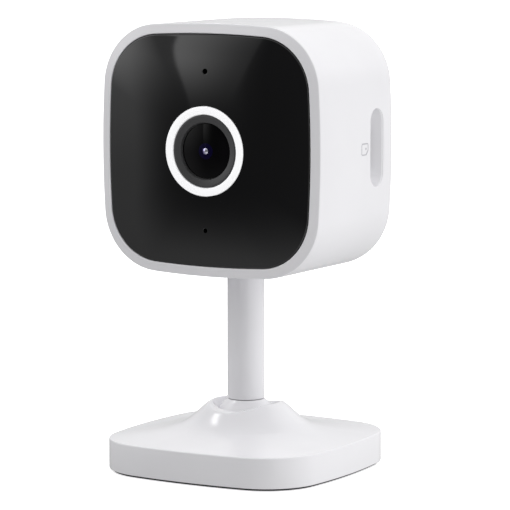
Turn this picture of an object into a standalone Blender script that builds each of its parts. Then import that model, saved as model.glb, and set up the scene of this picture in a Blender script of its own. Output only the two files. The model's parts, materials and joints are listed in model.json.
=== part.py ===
"""Security camera on a ball-jointed stem, as separate pieces.

Frame: +Z up, -Y is the front (lens side), +X is the side with the card recess.
The origin is at the middle of the base's underside. Lengths are in metres.
"""
import math

import bmesh
import bpy
from mathutils import Matrix, Vector

MM = 0.001

# ---------------------------------------------------------------- overall sizes
HEAD_WIDTH = 60.0 * MM          # square head, across and up
HEAD_DEPTH = 38.3 * MM          # bezel's outer edge to the back
HEAD_CORNER = 15.0 * MM
HEAD_BOW = 250.0 * MM           # radius of the head's slightly bowed sides
HEAD_BACK_FILLET = 4.2 * MM
HEAD_FRONT = 16.92 * MM         # bezel's outer edge, forward of the stem's axis
TOTAL_HEIGHT = 108.0 * MM
BASE_WIDTH = 57.8 * MM
BASE_CORNER = 14.5 * MM
BASE_BOW = 125.0 * MM
BASE_EDGE_HEIGHT = 7.88 * MM    # where the base's upright wall ends
PAD_SHOWS = 0.5 * MM            # the pad lifts the base wall by this much

# ---------------------------------------------------------------- walls and clearances
WALL = 2.0 * MM
GAP = 0.3 * MM                  # between pieces that touch
SLIDE_GAP = 0.4 * MM            # around pieces that move
SKIN = 1.0 * MM                 # how far a cutter runs past a face

# ---------------------------------------------------------------- front
BEZEL_WIDTH = 2.25 * MM
BEZEL_RISE = 0.68 * MM          # bezel's inner edge, forward of its outer edge
WINDOW_CORNER = 13.1 * MM
WINDOW_DOME = 1.75 * MM
WINDOW_DOME_POWER = 3.5
WINDOW_SEAT_DEPTH = 2.7 * MM    # seat behind the bezel's inner edge
WINDOW_SEAT_WIDTH = 2.15 * MM
WINDOW_SEAT_THICKNESS = 1.9 * MM
WINDOW_POCKET = 1.6 * MM
RING_OUTER = 10.59 * MM
RING_INNER = 8.72 * MM
RING_PROUD = 0.12 * MM
RING_LENGTH = 2.8 * MM
LENS_BORE = 6.8 * MM
LENS_BEVEL_DEPTH = 0.25 * MM
LENS_GLASS_RADIUS = 6.45 * MM
LENS_GLASS_DOME = 0.7 * MM
PIN_HOLE_OFFSET = 18.8 * MM
LIGHT_HOLE_RADIUS = 0.65 * MM
MIC_HOLE_RADIUS = 0.55 * MM

# ---------------------------------------------------------------- side recess and memory card
RECESS_WIDTH = 6.2 * MM
RECESS_LENGTH = 18.7 * MM
RECESS_DEPTH = 3.2 * MM
RECESS_BACK = 10.85 * MM        # recess centre, behind the stem's axis
RECESS_WALL = 1.5 * MM
RECESS_SLOPE_RUN = 2.1 * MM     # how far its rear side slopes in, from the surface to the floor
RECESS_END_RUN = 0.8 * MM
CARD_LENGTH = 15.0 * MM
CARD_WIDTH = 11.0 * MM
CARD_THICKNESS = 1.0 * MM
CARD_PROUD = 0.8 * MM           # card's end, out of the recess floor
SOCKET_WALL = 0.9 * MM
CARD_STOP = 2.0 * MM

# ---------------------------------------------------------------- boards and what they carry
BOARD_SIDE = 44.0 * MM
BOARD_THICKNESS = 1.2 * MM
BOARD_FRONT = -7.0 * MM         # main board's front face
BOARD_HOLE_OFFSET = 18.0 * MM
BOSS_RADIUS = 2.2 * MM
SENSOR_BOARD_SIDE = 24.0 * MM
SENSOR_BOARD_FRONT = -0.1 * MM
SENSOR_BOARD_THICKNESS = 1.0 * MM
SENSOR_SIZE = (7.0 * MM, 6.0 * MM)
SENSOR_HEIGHT = 1.0 * MM
FILTER_THICKNESS = 0.5 * MM
ELEMENT_THICKNESS = 3.0 * MM
HOLDER_HEIGHT = 18.0 * MM
HOLDER_LENGTH = 8.8 * MM
BARREL_RADIUS = 6.5 * MM
BARREL_WALL = 1.5 * MM
BARREL_LENGTH = 11.5 * MM
LENS_SCREW_OFFSET = 9.8 * MM
LENS_SCREW_RADIUS = 0.7 * MM
LENS_SCREW_HEAD_RADIUS = 1.6 * MM
LENS_SCREW_HEAD = 1.0 * MM
LENS_SCREW_REACH = 4.5 * MM     # into the lens holder
FRAME_BACK = 9.5 * MM
FRAME_THICKNESS = 1.2 * MM
IR_BOARD_SIDE = 48.0 * MM
IR_BOARD_THICKNESS = 1.0 * MM
IR_LED_OFFSET = 13.0 * MM
IR_LED_RADIUS = 2.5 * MM
IR_LED_LENGTH = 3.2 * MM
LIGHT_SENSOR_RADIUS = 1.5 * MM
LIGHT_SENSOR_HEIGHT = 2.0 * MM
MIC_RADIUS = 2.0 * MM
MIC_HEIGHT = 1.2 * MM
MIC_BOOT_WALL = 1.4 * MM
BOARD_SCREW_RADIUS = 0.8 * MM
BOARD_SCREW_HEAD_RADIUS = 1.8 * MM
BOARD_SCREW_HEAD = 1.2 * MM
BOARD_SCREW_REACH = 4.0 * MM    # into the rear cover's bosses
PROCESSOR_SIDE = 12.0 * MM
PROCESSOR_HEIGHT = 1.2 * MM
PROCESSOR_PLACE = (-6.0 * MM, 6.0 * MM)
MEMORY_CHIP_SIZE = (9.0 * MM, 7.0 * MM)
MEMORY_CHIP_HEIGHT = 1.0 * MM
MEMORY_CHIP_PLACE = (9.0 * MM, 8.0 * MM)
WIFI_SIDE = 12.0 * MM
WIFI_HEIGHT = 2.0 * MM
WIFI_PLACE = (-14.0 * MM, -8.0 * MM)
THERMAL_PAD_SIDE = 11.0 * MM
THERMAL_PAD_THICKNESS = 1.0 * MM
SPREADER_SIZE = (36.0 * MM, 30.0 * MM)
SPREADER_THICKNESS = 1.0 * MM
ANTENNA_SIZE = (24.0 * MM, 0.8 * MM)
ANTENNA_DEPTH = 10.0 * MM
ANTENNA_DROP = 2.0 * MM         # below the head's inner face

# ---------------------------------------------------------------- back
COVER_SIDE = 47.4 * MM
COVER_THICKNESS = 1.3 * MM
COVER_LEDGE_WIDTH = 1.4 * MM
COVER_LEDGE_THICKNESS = 1.6 * MM
SPEAKER_RADIUS = 9.0 * MM
SPEAKER_LENGTH = 5.0 * MM
SPEAKER_PLACE = (-8.0 * MM, 10.0 * MM)
GASKET_THICKNESS = 1.0 * MM
GASKET_WIDTH = 1.5 * MM
GRILLE_HOLE_RADIUS = 0.8 * MM
GRILLE_PITCH = 3.0 * MM
PORT_WIDTH = 9.0 * MM
PORT_HEIGHT = 3.4 * MM
PORT_WALL = 0.4 * MM
PORT_DROP = 14.0 * MM
PORT_INSET = 0.5 * MM
PORT_ROOM = 7.0 * MM            # depth of the port's mouth
BUTTON_RADIUS = 1.5 * MM
BUTTON_PLACE = (10.0 * MM, -14.0 * MM)
BUTTON_TRAVEL = 0.5 * MM
BUTTON_FLANGE = 1.1 * MM
BUTTON_FLANGE_THICKNESS = 0.8 * MM
BUTTON_STALK_RADIUS = 0.9 * MM
SWITCH_SIDE = 4.0 * MM
SWITCH_HEIGHT = 2.0 * MM

# ---------------------------------------------------------------- stem and ball joint
STEM_RADIUS = 4.5 * MM
STEM_WALL = 1.5 * MM
STEM_INTO_HEAD = 13.0 * MM
BALL_RADIUS = 7.4 * MM
BALL_HEIGHT = 10.63 * MM
BALL_FLAT = 5.4 * MM            # flat underneath, below the ball's centre
SPIGOT_LENGTH = 7.7 * MM
SHOULDER_THICKNESS = 2.0 * MM
SWIVEL_SCREW_RADIUS = 1.2 * MM
SWIVEL_SCREW_HEAD = 2.0 * MM
CLAMP_SIZE = (22.0 * MM, 12.0 * MM, 6.6 * MM)
NUT_RADIUS = 6.4 * MM
NUT_THICKNESS = 3.0 * MM

# ---------------------------------------------------------------- base
MOUND_TOP = 16.3 * MM
MOUND_RIM_RADIUS = 8.6 * MM
MOUND_HALF_RADIUS = 12.3 * MM   # where the mound has fallen to half its height
MOUND_RISE = 7.6 * MM
MOUND_POWER = 5.5
CROWN = 1.5 * MM                # gentle rise of the base's top
SADDLE_HEIGHT = 14.4 * MM       # rim's height at the front and back
SADDLE_RADIUS = 19.0 * MM
CRATER_LIP = 13.7 * MM          # where the socket opens out
CRATER_RADIUS = 8.4 * MM
MOUND_CORE = 9.6 * MM           # underside of the mound's solid core
MOUND_FOOT_RADIUS = 16.0 * MM   # where the base's square outline has become round
PAD_THICKNESS = 1.0 * MM
PAD_LIP = 0.25 * MM             # the pad's thin edge, under the base's wall
PAD_LIP_INSET = 0.8 * MM
COVER_PLATE = 1.8 * MM
CUP_RADIUS = 9.6 * MM
CUP_FLOOR = 4.4 * MM
CUP_SEAT_ANGLE = math.radians(133)      # where the ball's seat ends, measured from the top
SPRING_WIDTH = 3.0 * MM
SPRING_THICKNESS = 0.7 * MM
WEIGHT_SIDE = 44.0 * MM
WEIGHT_CORNER = 15.0 * MM
WEIGHT_THICKNESS = 1.9 * MM
BASE_SCREW_OFFSET = 20.0 * MM
BASE_BOSS_RADIUS = 2.6 * MM
BASE_SCREW_RADIUS = 0.9 * MM
BASE_SCREW_HEAD_RADIUS = 2.2 * MM
BASE_SCREW_SHELF = 1.0 * MM     # depth of the hole for the screw's head

# ---------------------------------------------------------------- worked out from the sizes above
HEAD_HALF = HEAD_WIDTH / 2
HEAD_HEIGHT = TOTAL_HEIGHT - HEAD_HALF
HEAD_BACK = HEAD_FRONT - HEAD_DEPTH
BEZEL_EDGE = HEAD_FRONT + BEZEL_RISE
BEZEL_HALF = HEAD_HALF - BEZEL_WIDTH
WINDOW_HALF = BEZEL_HALF - GAP
WINDOW_SEAT = BEZEL_EDGE - WINDOW_SEAT_DEPTH
SEAT_HALF = BEZEL_HALF - WINDOW_SEAT_WIDTH
WINDOW_BACK = WINDOW_SEAT + GAP
POCKET_FACE = WINDOW_BACK + WINDOW_POCKET
DOME_TOP = BEZEL_EDGE + WINDOW_DOME
RING_FACE = DOME_TOP + RING_PROUD
HEAD_INNER = HEAD_HALF - WALL
COVER_HALF = COVER_SIDE / 2
COVER_CORNER = HEAD_CORNER - HEAD_HALF + COVER_HALF
COVER_FACE = HEAD_BACK + COVER_THICKNESS
BOARD_BACK = BOARD_FRONT - BOARD_THICKNESS
RECESS_FLOOR = HEAD_HALF - RECESS_DEPTH
CARD_END = RECESS_FLOOR + CARD_PROUD
HEAD_PLACE = (0.0, 0.0, HEAD_HEIGHT)
STEM_FOOT = BALL_HEIGHT + math.sqrt(BALL_RADIUS ** 2 - STEM_RADIUS ** 2)
STEM_BOTTOM = STEM_FOOT + GAP
STEM_TOP = HEAD_HEIGHT - HEAD_HALF + STEM_INTO_HEAD
SPIGOT_TOP = STEM_FOOT + SPIGOT_LENGTH
SHOULDER = SPIGOT_TOP + GAP
STEM_BORE = STEM_RADIUS - STEM_WALL
BASE_HALF = BASE_WIDTH / 2
BASE_INNER = BASE_HALF - WALL
COVER_PLATE_BOTTOM = PAD_THICKNESS + GAP
COVER_PLATE_TOP = COVER_PLATE_BOTTOM + COVER_PLATE

# name: colour, roughness, metallic
FINISHES = {
    "white_plastic": ((0.86, 0.86, 0.87), 0.35, 0.0),
    "black_window": ((0.012, 0.012, 0.014), 0.06, 0.0),
    "ring_white": ((0.9, 0.9, 0.9), 0.3, 0.0),
    "dark_plastic": ((0.05, 0.05, 0.055), 0.45, 0.0),
    "lens_glass": ((0.01, 0.012, 0.02), 0.03, 0.0),
    "filter_glass": ((0.25, 0.05, 0.08), 0.05, 0.0),
    "circuit_board": ((0.02, 0.12, 0.05), 0.5, 0.0),
    "chip_black": ((0.02, 0.02, 0.02), 0.5, 0.0),
    "steel": ((0.55, 0.55, 0.56), 0.35, 1.0),
    "aluminium": ((0.75, 0.75, 0.77), 0.4, 1.0),
    "rubber": ((0.06, 0.06, 0.065), 0.8, 0.0),
    "grey_plastic": ((0.45, 0.45, 0.47), 0.5, 0.0),
}


def clear_scene():
    for item in list(bpy.data.objects):
        bpy.data.objects.remove(item, do_unlink=True)


def make_materials():
    materials = {}
    for name, (colour, roughness, metallic) in FINISHES.items():
        material = bpy.data.materials.new(name)
        material.use_nodes = True
        shader = material.node_tree.nodes["Principled BSDF"]
        shader.inputs["Base Color"].default_value = (*colour, 1.0)
        shader.inputs["Roughness"].default_value = roughness
        shader.inputs["Metallic"].default_value = metallic
        materials[name] = material
    return materials


# ---------------------------------------------------------------- outlines
def rounded_square(half, corner, bow, side_steps=2, corner_steps=4):
    """Outline of a square with round corners and sides that bow outwards slightly."""
    centre = half - bow
    reach = (2 * centre + math.sqrt(4 * centre ** 2 - 8 * (centre ** 2 - (bow - corner) ** 2))) / 4
    meet = math.atan2(reach, reach - centre)
    octant = []
    for step in range(side_steps):
        angle = meet * step / side_steps
        octant.append((centre + bow * math.cos(angle), bow * math.sin(angle)))
    for step in range(corner_steps + 1):
        angle = meet + (math.pi / 4 - meet) * step / corner_steps
        octant.append((reach + corner * math.cos(angle), reach + corner * math.sin(angle)))
    side = octant + [(v, u) for u, v in reversed(octant[1:-1])]
    points = []
    for turn in range(4):
        cos, sin = (1, 0, -1, 0)[turn], (0, 1, 0, -1)[turn]
        points += [(u * cos - v * sin, u * sin + v * cos) for u, v in side]
    return points


def head_outline(half, corner=None):
    """The head's outline, drawn in or out to another half width."""
    inset = HEAD_HALF - half
    return rounded_square(half, HEAD_CORNER - inset if corner is None else corner, HEAD_BOW)


def base_outline(half):
    inset = BASE_HALF - half
    return rounded_square(half, BASE_CORNER - inset, BASE_BOW)


def circle(radius, segments=24):
    return [(radius * math.cos(math.tau * step / segments), radius * math.sin(math.tau * step / segments))
            for step in range(segments)]


def round_like(outline, radius):
    """A circle with one point for each point of an outline, in the same directions."""
    return [(radius * u / math.hypot(u, v), radius * v / math.hypot(u, v)) for u, v in outline]


def between(first, second, share):
    return [(u * (1 - share) + p * share, v * (1 - share) + q * share)
            for (u, v), (p, q) in zip(first, second)]


def stadium(width, length, steps=6):
    """Upright slot outline with round ends."""
    radius = width / 2
    straight = length / 2 - radius
    points = []
    for end in (1, -1):
        for step in range(steps + 1):
            angle = math.pi * step / steps + (0 if end > 0 else math.pi)
            points.append((radius * math.cos(angle), end * straight + radius * math.sin(angle)))
    return points


def box_outline(width, height):
    return [(width / 2, height / 2), (-width / 2, height / 2),
            (-width / 2, -height / 2), (width / 2, -height / 2)]


def four_corners(offset):
    """The places of four screws, the same distance out each way."""
    return [(across * offset, along * offset, 0) for across in (-1, 1) for along in (-1, 1)]


# ---------------------------------------------------------------- solids
def loft(rings, loop=False):
    """Join rings of points, given as (outline, level), into one closed mesh."""
    mesh = bmesh.new()
    loops = []
    for outline, level in rings:
        loops.append([mesh.verts.new((u, v, level)) for u, v in outline])
    pairs = list(zip(loops, loops[1:]))
    if loop:
        pairs.append((loops[-1], loops[0]))
    for low, high in pairs:
        for index in range(len(low)):
            follow = (index + 1) % len(low)
            mesh.faces.new((low[index], low[follow], high[follow], high[index]))
    if not loop:
        mesh.faces.new(list(reversed(loops[0])))
        mesh.faces.new(loops[-1])
    bmesh.ops.recalc_face_normals(mesh, faces=mesh.faces)
    return mesh


def turned(profile, segments=24, loop=True):
    """Turn a profile of (radius, level) points about the level axis."""
    return loft([(circle(radius, segments), level) for radius, level in profile], loop)


def rod(radius, low, high, segments=16):
    return turned([(radius, low), (radius, high)], segments, loop=False)


def tube(outer, inner, low, high, segments=24):
    return turned([(outer, low), (outer, high), (inner, high), (inner, low)], segments)


def slab(width, height, low, high):
    return loft([(box_outline(width, height), low), (box_outline(width, height), high)])


def moved(mesh, offset):
    bmesh.ops.translate(mesh, verts=mesh.verts, vec=Vector(offset))
    return mesh


def gathered(meshes):
    """Several separate solids in one mesh, for a cutter."""
    whole = bmesh.new()
    for mesh in meshes:
        data = bpy.data.meshes.new("piece")
        mesh.to_mesh(data)
        mesh.free()
        whole.from_mesh(data)
        bpy.data.meshes.remove(data)
    return whole


# Directions that a solid's own level axis can point in.
UP = Matrix.Identity(4)
FORWARD = Matrix.Rotation(math.pi / 2, 4, "X")
RIGHTWARD = Matrix.Rotation(math.pi / 2, 4, "Z") @ Matrix.Rotation(math.pi / 2, 4, "X")


class Builder:
    """Makes objects under one empty, which marks a joint's axis."""

    def __init__(self, materials, name, place, parent=None):
        self.materials = materials
        self.pivot = bpy.data.objects.new(name, None)
        bpy.context.collection.objects.link(self.pivot)
        self.origin = Vector(place)
        if parent is None:
            self.pivot.location = self.origin
        else:
            self.pivot.parent = parent.pivot
            self.pivot.location = self.origin - parent.origin

    def add(self, name, mesh, finish, place, direction=UP):
        data = bpy.data.meshes.new(name)
        mesh.to_mesh(data)
        mesh.free()
        data.shade_smooth()
        data.set_sharp_from_angle(angle=math.radians(35))
        item = bpy.data.objects.new(name, data)
        bpy.context.collection.objects.link(item)
        item.parent = self.pivot
        item.matrix_local = Matrix.Translation(Vector(place) - self.origin) @ direction
        if finish:
            item.data.materials.append(self.materials[finish])
        return item

    def change(self, target, name, mesh, place, direction=UP, operation="DIFFERENCE"):
        """Cut a shape from an object, or join it on."""
        tool = self.add(name, mesh, None, place, direction)
        tool.display_type = "WIRE"
        tool.hide_render = True
        step = target.modifiers.new(name, "BOOLEAN")
        step.operation = operation
        step.solver = "EXACT"
        step.object = tool
        return target


# ---------------------------------------------------------------- head
def head_point(across, up, forward=0.0):
    """A place in the head: across and up from its centre, and forward of the stem's axis."""
    return (across, -forward, HEAD_HEIGHT + up)


def make_head_shell(head):
    fillet = HEAD_BACK_FILLET
    ledge_front = HEAD_BACK + COVER_THICKNESS + GAP + COVER_LEDGE_THICKNESS
    opening = COVER_HALF + GAP
    ledge = COVER_HALF - COVER_LEDGE_WIDTH + GAP
    rings = [(head_outline(HEAD_HALF), HEAD_FRONT)]
    for step in range(5):
        angle = math.pi / 2 * step / 4
        half = HEAD_HALF - fillet + fillet * math.cos(angle)
        rings.append((head_outline(half), HEAD_BACK + fillet - fillet * math.sin(angle)))
    rings += [
        (head_outline(opening), HEAD_BACK),
        (head_outline(opening), HEAD_BACK + COVER_THICKNESS + GAP),
        (head_outline(ledge), HEAD_BACK + COVER_THICKNESS + GAP),
        (head_outline(ledge), ledge_front),
        (head_outline(HEAD_INNER - WALL), ledge_front),
        (head_outline(HEAD_INNER), ledge_front + WALL),
        (head_outline(HEAD_INNER), WINDOW_SEAT - WINDOW_SEAT_THICKNESS),
        (head_outline(SEAT_HALF), WINDOW_SEAT - WINDOW_SEAT_THICKNESS),
        (head_outline(SEAT_HALF), WINDOW_SEAT),
        (head_outline(BEZEL_HALF, WINDOW_CORNER + GAP), WINDOW_SEAT),
        (head_outline(BEZEL_HALF, WINDOW_CORNER + GAP), BEZEL_EDGE),
    ]
    shell = head.add("head_shell", loft(rings, loop=True), "white_plastic", HEAD_PLACE, FORWARD)
    middle = head_point(0, 0, -RECESS_BACK)
    inner = RECESS_FLOOR - RECESS_WALL
    pocket = stadium(RECESS_WIDTH + 2 * RECESS_WALL, RECESS_LENGTH + 2 * RECESS_WALL)
    boss = loft([(pocket, inner), (pocket, HEAD_INNER + WALL / 2)])
    head.change(shell, "recess_boss", boss, middle, RIGHTWARD, "UNION")
    mouth = stadium(RECESS_WIDTH, RECESS_LENGTH)
    floor = [(u - RECESS_SLOPE_RUN / 2, v) for u, v in stadium(RECESS_WIDTH - RECESS_SLOPE_RUN,
                                                               RECESS_LENGTH - 2 * RECESS_END_RUN)]
    recess = loft([(floor, RECESS_FLOOR), (mouth, HEAD_HALF), (mouth, HEAD_HALF + SKIN)])
    head.change(shell, "recess_cut", recess, middle, RIGHTWARD)
    head.change(shell, "card_slot_cut",
                slab(CARD_THICKNESS + 2 * SLIDE_GAP, CARD_WIDTH + 2 * SLIDE_GAP, inner - SKIN, HEAD_HALF),
                middle, RIGHTWARD)
    bottom = HEAD_HEIGHT - HEAD_HALF
    head.change(shell, "stem_hole_cut", rod(STEM_RADIUS + GAP, -SKIN, WALL + SKIN, 32), (0, 0, bottom))


def make_front_window(head):
    edge = head_outline(WINDOW_HALF, WINDOW_CORNER)
    hole_radius = RING_OUTER + GAP
    hole = round_like(edge, hole_radius)
    pocket_half = SEAT_HALF - 2 * GAP
    rings = [(edge, BEZEL_EDGE)]
    for share in (0.12, 0.3, 0.55, 1.0):
        reach = 1 - share * (1 - hole_radius / WINDOW_HALF)
        rise = WINDOW_DOME * (1 - reach ** WINDOW_DOME_POWER)
        rings.append((between(edge, hole, share), BEZEL_EDGE + rise))
    rings += [
        (hole, POCKET_FACE),
        (head_outline(pocket_half), POCKET_FACE),
        (head_outline(pocket_half), WINDOW_BACK),
        (edge, WINDOW_BACK),
    ]
    window = head.add("front_window", loft(rings, loop=True), "black_window", HEAD_PLACE, FORWARD)
    pin_holes = (("light_hole_cut", LIGHT_HOLE_RADIUS, 1), ("mic_hole_cut", MIC_HOLE_RADIUS, -1))
    for name, radius, side in pin_holes:
        hole_mesh = rod(radius, POCKET_FACE - SKIN, RING_FACE + SKIN, 12)
        head.change(window, name, hole_mesh, head_point(0, side * PIN_HOLE_OFFSET), FORWARD)


def make_lens(head):
    """The ring, bezel, glass, barrel and holder, all on the lens axis."""
    bezel_radius = RING_INNER - GAP
    bezel_face = RING_FACE - GAP
    bezel_back = RING_FACE - RING_LENGTH - SKIN
    ring = tube(RING_OUTER, RING_INNER, RING_FACE - RING_LENGTH, RING_FACE, 48)
    head.add("light_ring", ring, "ring_white", HEAD_PLACE, FORWARD)
    bezel = turned([
        (bezel_radius, bezel_back),
        (bezel_radius, bezel_face),
        (bezel_radius - GAP, bezel_face),
        (LENS_BORE, bezel_face - LENS_BEVEL_DEPTH),
        (LENS_BORE, bezel_back),
    ], 48)
    head.add("lens_bezel", bezel, "dark_plastic", HEAD_PLACE, FORWARD)

    glass_edge = bezel_face - LENS_BEVEL_DEPTH - 2 * GAP
    glass_back = bezel_back + 2 * GAP
    profile = [(LENS_GLASS_RADIUS, glass_back), (LENS_GLASS_RADIUS, glass_edge)]
    for share in (0.7, 0.35):
        profile.append((LENS_GLASS_RADIUS * share, glass_edge + LENS_GLASS_DOME * (1 - share ** 2)))
    head.add("lens_front_glass", turned(profile, 32, loop=False), "lens_glass", HEAD_PLACE, FORWARD)

    barrel_front = glass_back - GAP
    barrel_back = barrel_front - BARREL_LENGTH
    bore = BARREL_RADIUS - BARREL_WALL
    head.add("lens_barrel", tube(BARREL_RADIUS, bore, barrel_back, barrel_front), "dark_plastic",
             HEAD_PLACE, FORWARD)
    element = rod(bore - GAP, barrel_back + SKIN, barrel_back + SKIN + ELEMENT_THICKNESS)
    head.add("lens_rear_element", element, "lens_glass", HEAD_PLACE, FORWARD)

    holder_back = SENSOR_BOARD_FRONT + GAP
    holder = head.add("lens_holder", slab(SENSOR_BOARD_SIDE, HOLDER_HEIGHT, holder_back,
                                          holder_back + HOLDER_LENGTH), "dark_plastic", HEAD_PLACE, FORWARD)
    bore_cut = rod(BARREL_RADIUS + GAP, holder_back - SKIN, holder_back + HOLDER_LENGTH + SKIN, 24)
    head.change(holder, "holder_bore_cut", bore_cut, HEAD_PLACE, FORWARD)
    screw_top = holder_back + LENS_SCREW_REACH
    screw_cut = gathered([moved(rod(LENS_SCREW_RADIUS + GAP, holder_back - SKIN, screw_top + 2 * GAP, 12),
                                (side * LENS_SCREW_OFFSET, 0, 0)) for side in (-1, 1)])
    head.change(holder, "holder_screw_cut", screw_cut, HEAD_PLACE, FORWARD)

    filter_front = barrel_back - GAP
    head.add("ir_cut_filter", rod(BARREL_RADIUS - SKIN, filter_front - FILTER_THICKNESS, filter_front),
             "filter_glass", HEAD_PLACE, FORWARD)
    head.add("image_sensor", slab(*SENSOR_SIZE, holder_back, holder_back + SENSOR_HEIGHT), "chip_black",
             HEAD_PLACE, FORWARD)
    board_back = SENSOR_BOARD_FRONT - SENSOR_BOARD_THICKNESS
    board_mesh = slab(SENSOR_BOARD_SIDE, SENSOR_BOARD_SIDE, board_back, SENSOR_BOARD_FRONT)
    board = head.add("sensor_board", board_mesh, "circuit_board", HEAD_PLACE, FORWARD)
    hole_top = SENSOR_BOARD_FRONT + GAP / 2
    board_cut = gathered([moved(rod(LENS_SCREW_RADIUS + GAP, board_back - SKIN, hole_top, 12),
                                (side * LENS_SCREW_OFFSET, 0, 0)) for side in (-1, 1)])
    head.change(board, "sensor_screw_cut", board_cut, HEAD_PLACE, FORWARD)
    for number, side in ((1, -1), (2, 1)):
        face = board_back - GAP
        screw = turned([(LENS_SCREW_HEAD_RADIUS, face - LENS_SCREW_HEAD), (LENS_SCREW_HEAD_RADIUS, face),
                        (LENS_SCREW_RADIUS, face), (LENS_SCREW_RADIUS, screw_top)], 12, loop=False)
        head.add(f"lens_screw_{number}", screw, "steel", head_point(side * LENS_SCREW_OFFSET, 0), FORWARD)


def make_night_lighting(head):
    """The frame behind the window and the board with the lamps, light sensor and microphone."""
    frame_half = HEAD_INNER - 2 * GAP
    edge = head_outline(frame_half)
    hole = round_like(edge, BARREL_RADIUS + SKIN)
    frame_front = FRAME_BACK + FRAME_THICKNESS
    frame = loft([(edge, FRAME_BACK), (edge, frame_front), (hole, frame_front), (hole, FRAME_BACK)],
                 loop=True)
    head.add("inner_frame", frame, "grey_plastic", HEAD_PLACE, FORWARD)

    board_back = frame_front + GAP
    face = board_back + IR_BOARD_THICKNESS
    edge = head_outline(IR_BOARD_SIDE / 2)
    board = loft([(edge, board_back), (edge, face), (hole, face), (hole, board_back)], loop=True)
    head.add("ir_board", board, "circuit_board", HEAD_PLACE, FORWARD)
    seat = face + GAP
    for number, (across, up) in enumerate(((-1, 1), (1, 1), (-1, -1), (1, -1)), 1):
        lamp = turned([(IR_LED_RADIUS, seat), (IR_LED_RADIUS, seat + 0.6 * IR_LED_LENGTH),
                       (IR_LED_RADIUS * 0.6, seat + IR_LED_LENGTH)], 16, loop=False)
        head.add(f"ir_led_{number}", lamp, "lens_glass",
                 head_point(across * IR_LED_OFFSET, up * IR_LED_OFFSET), FORWARD)
    head.add("light_sensor", rod(LIGHT_SENSOR_RADIUS, seat, seat + LIGHT_SENSOR_HEIGHT), "lens_glass",
             head_point(0, PIN_HOLE_OFFSET), FORWARD)
    mic_top = seat + MIC_HEIGHT
    microphone = rod(MIC_RADIUS, seat, mic_top)
    head.add("microphone", microphone, "steel", head_point(0, -PIN_HOLE_OFFSET), FORWARD)
    boot_bore = MIC_HOLE_RADIUS + GAP
    boot = tube(boot_bore + MIC_BOOT_WALL, boot_bore, mic_top + GAP, POCKET_FACE - GAP, 16)
    head.add("mic_boot", boot, "rubber", head_point(0, -PIN_HOLE_OFFSET), FORWARD)


def make_main_board(head):
    outline = rounded_square(BOARD_SIDE / 2, COVER_CORNER - COVER_HALF + BOARD_SIDE / 2, HEAD_BOW, 1, 2)
    board = head.add("main_board", loft([(outline, BOARD_BACK), (outline, BOARD_FRONT)]), "circuit_board",
                     HEAD_PLACE, FORWARD)
    places = four_corners(BOARD_HOLE_OFFSET)
    holes = gathered([moved(rod(BOARD_SCREW_RADIUS + GAP, BOARD_BACK - SKIN, BOARD_FRONT + SKIN, 12), place)
                      for place in places])
    head.change(board, "board_hole_cut", holes, HEAD_PLACE, FORWARD)
    seat = BOARD_FRONT + GAP
    for number, (across, up, _) in enumerate(places, 1):
        screw = turned([(BOARD_SCREW_RADIUS, BOARD_BACK - BOARD_SCREW_REACH), (BOARD_SCREW_RADIUS, seat),
                        (BOARD_SCREW_HEAD_RADIUS, seat),
                        (BOARD_SCREW_HEAD_RADIUS, seat + BOARD_SCREW_HEAD)],
                       12, loop=False)
        head.add(f"board_screw_{number}", screw, "steel", head_point(across, up), FORWARD)

    chip_top = seat + PROCESSOR_HEIGHT
    head.add("processor", slab(PROCESSOR_SIDE, PROCESSOR_SIDE, seat, chip_top), "chip_black",
             head_point(*PROCESSOR_PLACE), FORWARD)
    head.add("memory_chip", slab(*MEMORY_CHIP_SIZE, seat, seat + MEMORY_CHIP_HEIGHT), "chip_black",
             head_point(*MEMORY_CHIP_PLACE), FORWARD)
    head.add("wifi_module", slab(WIFI_SIDE, WIFI_SIDE, seat, seat + WIFI_HEIGHT), "steel",
             head_point(*WIFI_PLACE), FORWARD)
    pad_bottom = chip_top + GAP
    pad_top = pad_bottom + THERMAL_PAD_THICKNESS
    head.add("thermal_pad", slab(THERMAL_PAD_SIDE, THERMAL_PAD_SIDE, pad_bottom, pad_top), "grey_plastic",
             head_point(*PROCESSOR_PLACE), FORWARD)
    spreader_back = pad_top + GAP
    spreader = slab(*SPREADER_SIZE, spreader_back, spreader_back + SPREADER_THICKNESS)
    head.add("heat_spreader", spreader, "aluminium", HEAD_PLACE, FORWARD)
    head.add("antenna", slab(*ANTENNA_SIZE, -ANTENNA_DEPTH, 0), "circuit_board",
             head_point(0, HEAD_INNER - ANTENNA_DROP), FORWARD)


def make_card_socket(head):
    """The metal card socket on the main board, in line with the recess."""
    inner = RECESS_FLOOR - RECESS_WALL
    stop = CARD_END - CARD_LENGTH
    room = CARD_THICKNESS + 2 * SLIDE_GAP
    opening = CARD_WIDTH + 2 * SLIDE_GAP
    middle = head_point(0, 0, -RECESS_BACK)
    socket = head.add("card_socket", slab(room + 2 * SOCKET_WALL, opening + 2 * SOCKET_WALL,
                                          stop - CARD_STOP, inner - GAP), "steel", middle, RIGHTWARD)
    head.change(socket, "card_room_cut", slab(room, opening, stop - GAP, inner + SKIN), middle, RIGHTWARD)


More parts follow.
